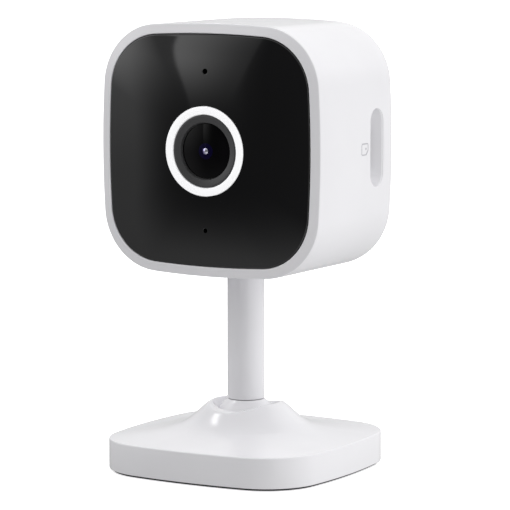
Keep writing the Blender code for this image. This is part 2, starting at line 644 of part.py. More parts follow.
def make_rear(head):
    """The rear cover with its bosses and openings, and what sits behind it."""
    outline = head_outline(COVER_HALF, COVER_CORNER)
    cover = head.add("rear_cover", loft([(outline, HEAD_BACK), (outline, COVER_FACE)]), "white_plastic",
                     HEAD_PLACE, FORWARD)
    places = four_corners(BOARD_HOLE_OFFSET)
    bosses = gathered([moved(rod(BOSS_RADIUS, COVER_FACE - SKIN / 2, BOARD_BACK - GAP, 16), place)
                       for place in places])
    head.change(cover, "cover_bosses", bosses, HEAD_PLACE, FORWARD, "UNION")
    bore_end = BOARD_BACK - BOARD_SCREW_REACH - SKIN
    bores = gathered([moved(rod(BOARD_SCREW_RADIUS + GAP, bore_end, BOARD_BACK, 12), place)
                      for place in places])
    head.change(cover, "boss_bore_cut", bores, HEAD_PLACE, FORWARD)

    grille_places = [(0.0, 0.0)] + [(GRILLE_PITCH * math.cos(math.pi / 3 * step),
                                     GRILLE_PITCH * math.sin(math.pi / 3 * step)) for step in range(6)]
    grille = gathered([moved(rod(GRILLE_HOLE_RADIUS, HEAD_BACK - SKIN, COVER_FACE + SKIN, 10),
                             (across, up, 0)) for across, up in grille_places])
    head.change(cover, "grille_cut", grille, head_point(*SPEAKER_PLACE), FORWARD)
    port_cut = slab(PORT_WIDTH + 2 * GAP, PORT_HEIGHT + 2 * GAP, HEAD_BACK - SKIN, COVER_FACE + SKIN)
    head.change(cover, "port_cut", port_cut, head_point(0, -PORT_DROP), FORWARD)
    button_cut = rod(BUTTON_RADIUS + SLIDE_GAP, HEAD_BACK - SKIN, COVER_FACE + SKIN, 16)
    head.change(cover, "button_cut", button_cut, head_point(*BUTTON_PLACE), FORWARD)

    gasket_front = COVER_FACE + GAP + GASKET_THICKNESS
    head.add("speaker_gasket", tube(SPEAKER_RADIUS, SPEAKER_RADIUS - GASKET_WIDTH, COVER_FACE + GAP,
                                    gasket_front), "rubber", head_point(*SPEAKER_PLACE), FORWARD)
    head.add("speaker", rod(SPEAKER_RADIUS, gasket_front + GAP, gasket_front + GAP + SPEAKER_LENGTH, 24),
             "dark_plastic", head_point(*SPEAKER_PLACE), FORWARD)

    port_back = HEAD_BACK + PORT_INSET
    port = head.add("power_port", slab(PORT_WIDTH, PORT_HEIGHT, port_back, BOARD_BACK - GAP), "steel",
                    head_point(0, -PORT_DROP), FORWARD)
    head.change(port, "port_room_cut", slab(PORT_WIDTH - 2 * PORT_WALL, PORT_HEIGHT - 2 * PORT_WALL,
                                            port_back - SKIN, port_back + PORT_ROOM),
                head_point(0, -PORT_DROP), FORWARD)
    switch_front = BOARD_BACK - GAP
    switch = slab(SWITCH_SIDE, SWITCH_SIDE, switch_front - SWITCH_HEIGHT, switch_front)
    head.add("button_switch", switch, "chip_black", head_point(*BUTTON_PLACE), FORWARD)


def make_setup_button(button):
    """The button slides forward, into the rear cover, until its stalk meets the switch."""
    flange_back = COVER_FACE + GAP
    flange_front = flange_back + BUTTON_FLANGE_THICKNESS
    stalk_end = BOARD_BACK - GAP - SWITCH_HEIGHT - BUTTON_TRAVEL - GAP
    profile = [
        (BUTTON_RADIUS, HEAD_BACK + GAP),
        (BUTTON_RADIUS, flange_back),
        (BUTTON_RADIUS + BUTTON_FLANGE, flange_back),
        (BUTTON_RADIUS + BUTTON_FLANGE, flange_front),
        (BUTTON_STALK_RADIUS, flange_front),
        (BUTTON_STALK_RADIUS, stalk_end),
    ]
    cap = turned(profile, 16, loop=False)
    button.add("setup_button", cap, "grey_plastic", head_point(*BUTTON_PLACE), FORWARD)


def make_memory_card(card):
    stop = CARD_END - CARD_LENGTH
    card.add("memory_card", slab(CARD_THICKNESS, CARD_WIDTH, stop, CARD_END), "chip_black",
             head_point(0, 0, -RECESS_BACK), RIGHTWARD)


# ---------------------------------------------------------------- stem and ball
def make_stem(head):
    """The tube, with a shoulder inside that the swivel screw holds down, and its fixing in the head."""
    hole = SWIVEL_SCREW_RADIUS + GAP
    shoulder_top = SHOULDER + SHOULDER_THICKNESS
    profile = [
        (STEM_RADIUS, STEM_BOTTOM), (STEM_RADIUS, STEM_TOP), (STEM_BORE, STEM_TOP),
        (STEM_BORE, shoulder_top), (hole, shoulder_top), (hole, SHOULDER),
        (STEM_BORE, SHOULDER), (STEM_BORE, STEM_BOTTOM),
    ]
    head.add("stem", turned(profile, 32), "white_plastic", (0, 0, 0))
    screw_seat = shoulder_top + GAP
    screw_head = STEM_BORE - SLIDE_GAP
    screw = turned([(SWIVEL_SCREW_RADIUS, STEM_FOOT), (SWIVEL_SCREW_RADIUS, screw_seat),
                    (screw_head, screw_seat), (screw_head, screw_seat + SWIVEL_SCREW_HEAD)], 16, loop=False)
    head.add("swivel_screw", screw, "steel", (0, 0, 0))

    width, depth, height = CLAMP_SIZE
    clamp_bottom = HEAD_HEIGHT - HEAD_INNER + GAP
    clamp_top = clamp_bottom + height
    clamp = head.add("stem_clamp", slab(width, depth, clamp_bottom, clamp_top), "grey_plastic", (0, 0, 0))
    clamp_bore = rod(STEM_RADIUS + GAP, clamp_bottom - SKIN, clamp_top + SKIN, 24)
    head.change(clamp, "clamp_bore_cut", clamp_bore, (0, 0, 0))
    nut = tube(NUT_RADIUS, STEM_RADIUS + GAP, clamp_top + GAP, clamp_top + GAP + NUT_THICKNESS, 24)
    head.add("stem_nut", nut, "steel", (0, 0, 0))


def make_ball_foot(ball):
    """A ball with a flat underneath, and a spigot on top that the stem turns on."""
    foot_angle = math.acos((STEM_FOOT - BALL_HEIGHT) / BALL_RADIUS)
    flat_angle = math.acos(-BALL_FLAT / BALL_RADIUS)
    steps = 8
    profile = []
    for step in range(steps + 1):
        angle = flat_angle + (foot_angle - flat_angle) * step / steps
        profile.append((BALL_RADIUS * math.sin(angle), BALL_HEIGHT + BALL_RADIUS * math.cos(angle)))
    spigot = STEM_BORE - GAP
    bore = SWIVEL_SCREW_RADIUS + GAP
    profile += [(spigot, STEM_FOOT), (spigot, SPIGOT_TOP), (bore, SPIGOT_TOP), (bore, STEM_FOOT - SKIN)]
    ball.add("ball_foot", turned(profile, 32, loop=False), "white_plastic", (0, 0, 0))


# ---------------------------------------------------------------- base
def mound_height(radius, reach):
    """Height of the base's top: a gentle crown, and a mound round the socket."""
    crown = CROWN * (1 - reach ** 2)
    mound = MOUND_RISE / (1 + (radius / MOUND_HALF_RADIUS) ** MOUND_POWER)
    edge = MOUND_RISE / (1 + (BASE_HALF / MOUND_HALF_RADIUS) ** MOUND_POWER)
    return min(MOUND_TOP, BASE_EDGE_HEIGHT + crown + (mound - edge) * (1 - reach ** 6))


def make_base_shell(base):
    edge = base_outline(BASE_HALF)
    inner = base_outline(BASE_INNER)
    ceiling = BASE_EDGE_HEIGHT - WALL
    rings = [
        (round_like(edge, CUP_RADIUS + 2 * GAP), MOUND_CORE),
        (round_like(edge, CUP_RADIUS + 2 * WALL), MOUND_CORE - WALL / 2),
        (inner, ceiling),
        (inner, PAD_SHOWS),
        (edge, PAD_SHOWS),
        (edge, BASE_EDGE_HEIGHT),
    ]
    for share in (0.25, 0.5, 0.75, 1.0):
        outline = between(edge, round_like(edge, MOUND_FOOT_RADIUS), share)
        radius = BASE_HALF - (BASE_HALF - MOUND_FOOT_RADIUS) * share
        rings.append((outline, mound_height(radius, radius / BASE_HALF)))
    steps = 6
    for step in range(1, steps + 1):
        radius = MOUND_FOOT_RADIUS - (MOUND_FOOT_RADIUS - MOUND_RIM_RADIUS) * step / steps
        rings.append((round_like(edge, radius), mound_height(radius, radius / BASE_HALF)))
    shell = base.add("base_shell", loft(rings), "white_plastic", (0, 0, 0))

    saddle = rod(SADDLE_RADIUS, -BASE_HALF / 2, BASE_HALF / 2, 64)
    base.change(shell, "saddle_cut", saddle, (0, 0, SADDLE_HEIGHT + SADDLE_RADIUS), FORWARD)
    seat = BALL_RADIUS + GAP
    core_angle = math.acos((MOUND_CORE - 2 * SKIN - BALL_HEIGHT) / seat)
    lip_angle = math.acos((CRATER_LIP - BALL_HEIGHT) / seat)
    profile = []
    for step in range(7):
        angle = core_angle + (lip_angle - core_angle) * step / 6
        profile.append((seat * math.sin(angle), BALL_HEIGHT + seat * math.cos(angle)))
    slope = (CRATER_RADIUS - profile[-1][0]) / (MOUND_TOP - CRATER_LIP)
    profile.append((CRATER_RADIUS + slope * SKIN, MOUND_TOP + SKIN))
    base.change(shell, "socket_cut", turned(profile, 32, loop=False), (0, 0, 0))

    places = four_corners(BASE_SCREW_OFFSET)
    boss_bottom = COVER_PLATE_TOP + GAP
    bosses = gathered([moved(rod(BASE_BOSS_RADIUS, boss_bottom, ceiling + WALL / 2, 16), place)
                       for place in places])
    base.change(shell, "base_bosses", bosses, (0, 0, 0), UP, "UNION")
    bores = gathered([moved(rod(BASE_SCREW_RADIUS + GAP, boss_bottom - SKIN, ceiling, 12), place)
                      for place in places])
    base.change(shell, "base_bore_cut", bores, (0, 0, 0))


def make_base_inside(base):
    seat = BALL_RADIUS + GAP
    top_angle = math.acos((MOUND_CORE - GAP - BALL_HEIGHT) / seat)
    profile = []
    for step in range(5):
        angle = top_angle + (CUP_SEAT_ANGLE - top_angle) * step / 4
        profile.append((seat * math.sin(angle), BALL_HEIGHT + seat * math.cos(angle)))
    profile += [(profile[-1][0], CUP_FLOOR), (CUP_RADIUS, CUP_FLOOR), (CUP_RADIUS, MOUND_CORE - GAP)]
    base.add("friction_cup", turned(profile, 32), "dark_plastic", (0, 0, 0))
    spring_top = CUP_FLOOR - GAP
    spring_outer = CUP_RADIUS - SKIN
    spring = tube(spring_outer, spring_outer - SPRING_WIDTH, spring_top - SPRING_THICKNESS, spring_top)
    base.add("cup_spring", spring, "steel", (0, 0, 0))

    outline = rounded_square(WEIGHT_SIDE / 2, WEIGHT_CORNER, BASE_BOW)
    hole = round_like(outline, CUP_RADIUS + 2 * GAP)
    low = COVER_PLATE_TOP + GAP
    high = low + WEIGHT_THICKNESS
    plate = loft([(outline, low), (outline, high), (hole, high), (hole, low)], loop=True)
    base.add("weight_plate", plate, "steel", (0, 0, 0))

    outline = base_outline(BASE_INNER - 1.5 * GAP)
    cover = base.add("base_cover", loft([(outline, COVER_PLATE_BOTTOM), (outline, COVER_PLATE_TOP)]),
                     "dark_plastic", (0, 0, 0))
    lip = base_outline(BASE_HALF - PAD_LIP_INSET)
    pad = loft([(lip, 0.0), (lip, PAD_LIP), (outline, PAD_LIP), (outline, PAD_THICKNESS)])
    base.add("rubber_pad", pad, "rubber", (0, 0, 0))
    places = four_corners(BASE_SCREW_OFFSET)
    shelf = COVER_PLATE_BOTTOM + BASE_SCREW_SHELF
    head_bore = BASE_SCREW_HEAD_RADIUS + GAP
    bore = BASE_SCREW_RADIUS + GAP
    holes = gathered([moved(turned([(head_bore, COVER_PLATE_BOTTOM - GAP / 2), (head_bore, shelf),
                                    (bore, shelf), (bore, COVER_PLATE_TOP + GAP / 2)], 12, loop=False),
                            place) for place in places])
    base.change(cover, "cover_hole_cut", holes, (0, 0, 0))
    for number, place in enumerate(places, 1):
        screw = turned([(BASE_SCREW_HEAD_RADIUS, COVER_PLATE_BOTTOM), (BASE_SCREW_HEAD_RADIUS, shelf - GAP),
                        (BASE_SCREW_RADIUS, shelf - GAP),
                        (BASE_SCREW_RADIUS, BASE_EDGE_HEIGHT - WALL - GAP)],
                       12, loop=False)
        base.add(f"base_screw_{number}", screw, "steel", place)


def main():
    clear_scene()
    materials = make_materials()
    base = Builder(materials, "base_origin", (0, 0, 0))
    ball = Builder(materials, "tilt_axis", (0, 0, BALL_HEIGHT), base)
    head = Builder(materials, "pan_axis", (0, 0, BALL_HEIGHT), ball)
    card = Builder(materials, "card_axis", head_point(CARD_END, 0, -RECESS_BACK), head)
    button = Builder(materials, "button_axis", head_point(*BUTTON_PLACE, HEAD_BACK), head)
    make_base_shell(base)
    make_base_inside(base)
    make_ball_foot(ball)
    make_stem(head)
    make_head_shell(head)
    make_front_window(head)
    make_lens(head)
    make_night_lighting(head)
    make_main_board(head)
    make_card_socket(head)
    make_rear(head)
    make_memory_card(card)
    make_setup_button(button)


main()
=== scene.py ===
import json
import math

import bmesh
import bpy
from mathutils import Matrix, Vector


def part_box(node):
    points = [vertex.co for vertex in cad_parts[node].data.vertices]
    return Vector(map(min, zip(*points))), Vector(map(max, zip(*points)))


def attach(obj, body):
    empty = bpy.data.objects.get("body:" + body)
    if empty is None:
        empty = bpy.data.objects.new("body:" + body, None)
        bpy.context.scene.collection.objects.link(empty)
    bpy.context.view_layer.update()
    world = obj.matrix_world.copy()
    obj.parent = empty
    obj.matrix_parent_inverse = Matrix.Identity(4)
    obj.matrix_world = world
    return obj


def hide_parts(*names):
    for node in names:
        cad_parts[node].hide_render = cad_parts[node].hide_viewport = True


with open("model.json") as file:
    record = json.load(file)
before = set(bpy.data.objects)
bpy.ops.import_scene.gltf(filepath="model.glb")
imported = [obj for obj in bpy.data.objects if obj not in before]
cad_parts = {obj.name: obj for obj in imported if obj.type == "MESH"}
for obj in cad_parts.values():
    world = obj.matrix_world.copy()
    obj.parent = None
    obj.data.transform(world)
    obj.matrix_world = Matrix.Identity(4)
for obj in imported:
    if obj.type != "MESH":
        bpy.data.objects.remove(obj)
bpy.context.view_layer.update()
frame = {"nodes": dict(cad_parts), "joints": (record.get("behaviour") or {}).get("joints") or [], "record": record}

MM = 0.001

# ---------------------------------------------------------------- sizes read from the frame
HEAD_LOW, HEAD_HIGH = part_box("head_shell")
WINDOW_LOW, WINDOW_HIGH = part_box("front_window")
RING_LOW, RING_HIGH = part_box("light_ring")
BEZEL_LOW, BEZEL_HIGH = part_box("lens_bezel")
GLASS_LOW, GLASS_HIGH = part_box("lens_front_glass")
REAR_LOW, REAR_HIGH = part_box("lens_rear_element")
BARREL_LOW, BARREL_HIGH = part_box("lens_barrel")
COVER_LOW, COVER_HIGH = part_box("rear_cover")
STEM_LOW, STEM_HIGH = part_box("stem")
BALL_LOW, BALL_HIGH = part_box("ball_foot")
BASE_LOW, BASE_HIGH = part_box("base_shell")
PAD_LOW, PAD_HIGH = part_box("rubber_pad")
CARD_LOW, CARD_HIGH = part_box("memory_card")
PORT_LOW, PORT_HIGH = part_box("power_port")
BUTTON_LOW, BUTTON_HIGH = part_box("setup_button")
SPEAKER_LOW, SPEAKER_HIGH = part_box("speaker")

HEAD_HALF = (HEAD_HIGH.x - HEAD_LOW.x) / 2
HEAD_HEIGHT = (HEAD_HIGH.z + HEAD_LOW.z) / 2
HEAD_CENTRE = (0.0, 0.0, HEAD_HEIGHT)
HEAD_BACK = -HEAD_HIGH.y        # "forward" levels are minus y
BEZEL_EDGE = -HEAD_LOW.y
WINDOW_HALF = (WINDOW_HIGH.x - WINDOW_LOW.x) / 2
WINDOW_BACK = -WINDOW_HIGH.y
RING_OUTER = (RING_HIGH.x - RING_LOW.x) / 2
RING_FACE = -RING_LOW.y
RING_BACK = -RING_HIGH.y
BEZEL_RADIUS = (BEZEL_HIGH.x - BEZEL_LOW.x) / 2
STEM_RADIUS = (STEM_HIGH.x - STEM_LOW.x) / 2
BALL_RADIUS = (BALL_HIGH.x - BALL_LOW.x) / 2
BASE_HALF = (BASE_HIGH.x - BASE_LOW.x) / 2
COVER_HALF = (COVER_HIGH.x - COVER_LOW.x) / 2
REAR_RADIUS = (REAR_HIGH.x - REAR_LOW.x) / 2

# ---------------------------------------------------------------- sizes of the finer shapes
HEAD_CORNER = 15.0 * MM
HEAD_BOW = 250.0 * MM
HEAD_BACK_FILLET = 4.2 * MM
HEAD_WALL = 2.0 * MM
COVER_SEAT_DEPTH = 1.6 * MM     # of the rear cover's seat, and of the ledge in front of it
COVER_SEAT_WIDTH = 1.4 * MM
COVER_THICKNESS = 1.3 * MM
COVER_CUT = 3.0 * MM            # how deep its openings are cut
GRILLE_HOLE_RADIUS = 0.8 * MM
GRILLE_REACH = 3.0 * MM
PORT_ROOM = 0.4 * MM            # more than the port, in both directions
PORT_WALL = 0.35 * MM
PORT_DEPTH = 7.0 * MM
BUTTON_RADIUS = 1.5 * MM
BUTTON_GAP = 0.25 * MM
BUTTON_STALK_RADIUS = 0.9 * MM
BUTTON_FLANGE = 0.8 * MM
WINDOW_LEDGE_WIDTH = 1.8 * MM
WINDOW_LEDGE_THICKNESS = 2.0 * MM
WINDOW_LEDGE_GAP = 0.3 * MM
BEZEL_BAND = 0.3 * MM           # closer than this to the window, the bezel follows its outline
RIM_DROP = 0.68 * MM            # bezel's outer edge, behind its inner edge
RIM_RADIUS = 0.35 * MM
WINDOW_CORNER = 13.1 * MM
WINDOW_GAP = 0.14 * MM
WINDOW_DOME = 1.75 * MM
WINDOW_DOME_POWER = 3.5
WINDOW_LIP = 0.35 * MM
WINDOW_BORDER = 3.0 * MM        # around the hollow behind it
WINDOW_HOLLOW = 1.6 * MM
WINDOW_HOLE_GAP = 0.1 * MM
BASE_CORNER = 14.5 * MM
BASE_BOW = 125.0 * MM
BASE_EDGE_HEIGHT = 7.88 * MM
BASE_WALL = 2.0 * MM
BASE_CREASE = 0.35 * MM         # radius of the edge round its top
PAD_LIP = 0.25 * MM
PAD_GAP = 0.45 * MM
MOUND_CORE = 9.6 * MM           # underside of the mound, below the ball's socket
MOUND_TOP = 16.3 * MM
MOUND_HALF_RADIUS = 12.3 * MM
MOUND_RISE = 7.6 * MM
MOUND_POWER = 5.5
CROWN = 1.5 * MM
SADDLE_HEIGHT = 14.4 * MM
SADDLE_RADIUS = 19.0 * MM
CRATER_LIP = 13.7 * MM
CRATER_RADIUS = 8.4 * MM
CRATER_SOFTNESS = 0.28 * MM
ROUND_RADIUS = 16.0 * MM        # inside this the base's top is drawn in circles
SOCKET_GAP = 0.2 * MM
RECESS_DEPTH = 3.2 * MM
RECESS_WIDTH = 6.2 * MM
RECESS_LENGTH = 18.7 * MM
RECESS_SLOPE_RUN = 2.1 * MM
RECESS_END_RUN = 0.8 * MM
RECESS_WALL = 1.5 * MM
RECESS_SOFTNESS = 0.35 * MM
CARD_ROOM = 0.6 * MM            # more than the card, in both directions
MARK_WIDTH = 3.4 * MM
MARK_HEIGHT = 2.9 * MM
MARK_CORNER = 0.55 * MM
MARK_CLIP = 1.0 * MM
MARK_LINE = 0.28 * MM
MARK_THICKNESS = 0.02 * MM
MARK_BACK = 4.65 * MM           # its centre, behind the stem's axis
STEM_HOLE_GAP = 0.12 * MM
STEM_FOOT_GAP = 0.14 * MM
STEM_WALL = 1.5 * MM
SPIGOT_GAP = 0.3 * MM
SPIGOT_BORE = 1.5 * MM
LENS_BORE = 6.8 * MM
LENS_BEVEL_DEPTH = 0.25 * MM
GROOVES = 4                     # in the bore behind the bevel
GROOVE_LENGTH = 0.35 * MM
GROOVE_STEP = 0.09 * MM
GLASS_DOME = 0.4 * MM
GLASS_BACK = 1.2 * MM           # behind the foremost point of the lens, as ELEMENT_BACK is
ELEMENT_RADIUS = 1.9 * MM
ELEMENT_DOME = 0.1 * MM
ELEMENT_BACK = 0.9 * MM
# the mirror dot at the lens's middle, which paints its highlight
HIGHLIGHT_DOT_RADIUS = 0.9 * MM
HIGHLIGHT_DOT_DOME = 0.34 * MM
PIN_HOLE_OFFSET = 18.8 * MM
UPPER_PIN_RADIUS = 0.65 * MM
LOWER_PIN_RADIUS = 0.55 * MM

BALL_HEIGHT = next(joint["pos_m"][2] for joint in frame["joints"] if joint["name"] == "ball_tilt")
STEM_FOOT = BALL_HEIGHT + math.sqrt(BALL_RADIUS ** 2 - STEM_RADIUS ** 2)
RECESS_BACK = (CARD_LOW.y + CARD_HIGH.y) / 2
RECESS_FLOOR = HEAD_HALF - RECESS_DEPTH

# Directions that a solid's own level axis can point in.
UP = Matrix.Identity(4)
FORWARD = Matrix.Rotation(math.pi / 2, 4, "X")
BACKWARD = Matrix.Rotation(-math.pi / 2, 4, "X")
DOWNWARD = Matrix.Rotation(math.pi, 4, "X")
RIGHTWARD = Matrix.Rotation(math.pi / 2, 4, "Z") @ Matrix.Rotation(math.pi / 2, 4, "X")


# ---------------------------------------------------------------- outlines
def rounded_square(half, corner, bow, side_steps=12, corner_steps=14):
    """Outline of a square with round corners and sides that bow outwards slightly."""
    centre = half - bow
    reach = (2 * centre + math.sqrt(4 * centre ** 2 - 8 * (centre ** 2 - (bow - corner) ** 2))) / 4
    meet = math.atan2(reach, reach - centre)
    octant = []
    for step in range(side_steps):
        angle = meet * step / side_steps
        octant.append((centre + bow * math.cos(angle), bow * math.sin(angle)))
    for step in range(corner_steps + 1):
        angle = meet + (math.pi / 4 - meet) * step / corner_steps
        octant.append((reach + corner * math.cos(angle), reach + corner * math.sin(angle)))
    side = octant + [(v, u) for u, v in reversed(octant[1:-1])]
    points = []
    for turn in range(4):
        cos, sin = (1, 0, -1, 0)[turn], (0, 1, 0, -1)[turn]
        points += [(u * cos - v * sin, u * sin + v * cos) for u, v in side]
    return points


def head_outline(half):
    return rounded_square(half, HEAD_CORNER - HEAD_HALF + half, HEAD_BOW)


def window_outline(half):
    return rounded_square(half, WINDOW_CORNER - WINDOW_HALF + half, HEAD_BOW)


def base_outline(half):
    return rounded_square(half, BASE_CORNER - BASE_HALF + half, BASE_BOW)


def circle(radius, segments=96):
    return [(radius * math.cos(math.tau * step / segments), radius * math.sin(math.tau * step / segments))
            for step in range(segments)]


def round_like(outline, radius):
    """A circle with one point for each point of an outline, in the same directions."""
    return [(radius * u / math.hypot(u, v), radius * v / math.hypot(u, v)) for u, v in outline]


def between(first, second, share):
    return [(u * (1 - share) + p * share, v * (1 - share) + q * share)
            for (u, v), (p, q) in zip(first, second)]


def stadium(width, length, steps=16):
    radius = width / 2
    straight = length / 2 - radius
    points = []
    for end in (1, -1):
        for step in range(steps + 1):
            angle = math.pi * step / steps + (0 if end > 0 else math.pi)
            points.append((radius * math.cos(angle), end * straight + radius * math.sin(angle)))
    return points


def rounded_box(width, height, corner, steps=5):
    points = []
    for quarter, (u, v) in enumerate(((1, 1), (-1, 1), (-1, -1), (1, -1))):
        for step in range(steps + 1):
            angle = math.pi / 2 * (quarter + step / steps)
            points.append((u * (width / 2 - corner) + corner * math.cos(angle),
                           v * (height / 2 - corner) + corner * math.sin(angle)))
    return points


def round_outline(radius, segments=96):
    """For a flared cutter: the circle of this radius, grown by what it asks for."""
    return lambda grow: circle(radius + grow, segments)


def box_outline(width, height, corner):
    """For a flared cutter: a rounded box, grown by what it asks for on every side."""
    return lambda grow: rounded_box(width + 2 * grow, height + 2 * grow, corner + grow)


def middle_of(low, high):
    return (low + high) / 2


def filleted(corners, steps=4, closed=True):
    """A profile of (distance, level) points from corners (distance, level, fillet radius)."""
    points = []
    count = len(corners)
    for index, (distance, level, radius) in enumerate(corners):
        here = Vector((distance, level))
        ends = not closed and index in (0, count - 1)
        if radius <= 0 or ends:
            points.append((distance, level))
            continue
        before = (Vector(corners[index - 1][:2]) - here).normalized()
        after = (Vector(corners[(index + 1) % count][:2]) - here).normalized()
        half_angle = before.angle(after) / 2
        reach = radius / math.tan(half_angle)
        centre = here + (before + after).normalized() * (radius / math.sin(half_angle))
        start = here + before * reach - centre
        finish = here + after * reach - centre
        for step in range(steps + 1):
            share = step / steps
            whole = start.angle(finish)
            ratio_start = math.sin((1 - share) * whole) / math.sin(whole)
            ratio_finish = math.sin(share * whole) / math.sin(whole)
            point = centre + start * ratio_start + finish * ratio_finish
            points.append((point.x, point.y))
    return points


# ---------------------------------------------------------------- meshes
MOUTH_GROWTH = 1.6      # how far a cutter opens out past a hole's edge, as a share of the edge's radius


def loft(rings, loop=False):
    """Join rings of points, given as (outline, level), into one closed mesh. A level may be a list."""
    mesh = bmesh.new()
    loops = []
    for outline, level in rings:
        levels = level if isinstance(level, list) else [level] * len(outline)
        loops.append([mesh.verts.new((u, v, height)) for (u, v), height in zip(outline, levels)])
    pairs = list(zip(loops, loops[1:]))
    if loop:
        pairs.append((loops[-1], loops[0]))
    for low, high in pairs:
        for index in range(len(low)):
            follow = (index + 1) % len(low)
            mesh.faces.new((low[index], low[follow], high[follow], high[index]))
    if not loop:
        mesh.faces.new(list(reversed(loops[0])))
        mesh.faces.new(loops[-1])
    bmesh.ops.recalc_face_normals(mesh, faces=mesh.faces)
    return mesh


def turned(corners, segments=96, loop=True, steps=4):
    """Turn a filleted profile about the level axis."""
    profile = filleted(corners, steps, loop)
    return loft([(circle(radius, segments), level) for radius, level in profile], loop)


def moved(mesh, offset):
    bmesh.ops.translate(mesh, verts=mesh.verts, vec=Vector(offset))
    return mesh


def gathered(meshes):
    whole = bmesh.new()
    for mesh in meshes:
        data = bpy.data.meshes.new("piece")
        mesh.to_mesh(data)
        mesh.free()
        whole.from_mesh(data)
        bpy.data.meshes.remove(data)
    return whole


def flared_cutter(outline_at, depth_from, depth_to, flare, steps=5):
    """A cutter whose mouth opens out, so that the hole it makes has a rounded edge."""
    rings = [(outline_at(0.0), depth_from)]
    for step in range(steps + 1):
        angle = math.pi / 2 * step / steps
        level = depth_to - flare + flare * math.sin(angle)
        rings.append((outline_at(flare * (1 - math.cos(angle))), level))
    rings.append((outline_at(flare * MOUTH_GROWTH), depth_to + flare))
    return loft(rings)


def smooth(item, angle=32.0):
    item.data.shade_smooth()
    item.data.set_sharp_from_angle(angle=math.radians(angle))


def place(name, mesh, where, direction=UP):
    data = bpy.data.meshes.new(name)
    mesh.to_mesh(data)
    mesh.free()
    item = bpy.data.objects.new(name, data)
    bpy.context.scene.collection.objects.link(item)
    item.matrix_world = Matrix.Translation(Vector(where)) @ direction
    return item


def cut(item, tools, operation="DIFFERENCE"):
    """Cut tool objects from a piece for good, and remove the tools."""
    for tool in tools:
        step = item.modifiers.new("cut", "BOOLEAN")
        step.operation = operation
        step.solver = "EXACT"
        step.object = tool
    bpy.context.view_layer.update()
    evaluated = item.evaluated_get(bpy.context.evaluated_depsgraph_get())
    data = bpy.data.meshes.new_from_object(evaluated)
    item.modifiers.clear()
    old = item.data
    item.data = data
    data.name = old.name
    bpy.data.meshes.remove(old)
    for tool in tools:
        bpy.data.objects.remove(tool, do_unlink=True)
    return item


def weighted(item):
    step = item.modifiers.new("weighted", "WEIGHTED_NORMAL")
    step.keep_sharp = True
    step.weight = 80
    return item


# ---------------------------------------------------------------- materials
def new_material(name):
    material = bpy.data.materials.new(name)
    material.use_nodes = True
    nodes, links = material.node_tree.nodes, material.node_tree.links
    return material, nodes, links, nodes["Principled BSDF"]


def add_noise(nodes, links, scale, detail=4.0, roughness=0.5):
    coordinates = nodes.new("ShaderNodeTexCoord")
    noise = nodes.new("ShaderNodeTexNoise")
    noise.inputs["Scale"].default_value = scale
    noise.inputs["Detail"].default_value = detail
    noise.inputs["Roughness"].default_value = roughness
    links.new(coordinates.outputs["Object"], noise.inputs["Vector"])
    return noise.outputs["Fac"]


def add_ramp(nodes, links, source, low, high, spread=(0.3, 0.7)):
    ramp = nodes.new("ShaderNodeValToRGB")
    ramp.color_ramp.elements[0].position = spread[0]
    ramp.color_ramp.elements[1].position = spread[1]
    ramp.color_ramp.elements[0].color = (*low, 1.0)
    ramp.color_ramp.elements[1].color = (*high, 1.0)
    links.new(source, ramp.inputs["Fac"])
    return ramp.outputs["Color"]


def add_range(nodes, links, source, low, high):
    reach = nodes.new("ShaderNodeMapRange")
    reach.inputs["To Min"].default_value = low
    reach.inputs["To Max"].default_value = high
    links.new(source, reach.inputs["Value"])
    return reach.outputs["Result"]


def add_colour(nodes, links, shader, source, low, high, spread=(0.3, 0.7)):
    links.new(add_ramp(nodes, links, source, low, high, spread), shader.inputs["Base Color"])


def add_gloss(nodes, links, shader, source, low, high):
    links.new(add_range(nodes, links, source, low, high), shader.inputs["Roughness"])


def add_bump(nodes, links, shader, source, depth):
    bump = nodes.new("ShaderNodeBump")
    bump.inputs["Distance"].default_value = depth
    links.new(source, bump.inputs["Height"])
    links.new(bump.outputs["Normal"], shader.inputs["Normal"])


def moulded(name, colour, roughness, grain_depth, spread=0.02, grain=2600.0, specular=0.5):
    """Moulded plastic: a fine spark-eroded grain, and slight cloudiness in colour and gloss."""
    material, nodes, links, shader = new_material(name)
    cloud = add_noise(nodes, links, 45.0, 3.0)
    low = tuple(max(0.0, value * (1 - spread)) for value in colour)
    high = tuple(min(1.0, value * (1 + spread)) for value in colour)
    add_colour(nodes, links, shader, cloud, low, high)
    patch = add_noise(nodes, links, 220.0, 5.0)
    add_gloss(nodes, links, shader, patch, roughness * 0.85, roughness * 1.15)
    shader.inputs["Specular IOR Level"].default_value = specular
    add_bump(nodes, links, shader, add_noise(nodes, links, grain, 2.0), grain_depth)
    return material


def make_black_window():
    """Dark polycarbonate: deep black and glossy, with the faintest wave in its surface."""
    material, nodes, links, shader = new_material("black_window")
    cloud = add_noise(nodes, links, 30.0, 2.0)
    add_colour(nodes, links, shader, cloud, (0.0018, 0.0018, 0.0024), (0.003, 0.003, 0.0038))
    patch = add_noise(nodes, links, 900.0, 3.0)
    add_gloss(nodes, links, shader, patch, 0.015, 0.035)
    shader.inputs["IOR"].default_value = 1.59
    add_bump(nodes, links, shader, add_noise(nodes, links, 60.0, 1.0), 0.000004)
    return material


def make_lit_ring():
    """A milky ring with a soft light behind it."""
    material, nodes, links, shader = new_material("ring_white")
    cloud = add_noise(nodes, links, 60.0, 3.0)
    add_colour(nodes, links, shader, cloud, (0.9, 0.9, 0.91), (0.94, 0.94, 0.95))
    add_gloss(nodes, links, shader, cloud, 0.2, 0.3)
    glow = add_ramp(nodes, links, cloud, (0.93, 0.93, 0.96), (1.0, 1.0, 1.0))
    links.new(glow, shader.inputs["Emission Color"])
    shader.inputs["Emission Strength"].default_value = 0.38
    return material


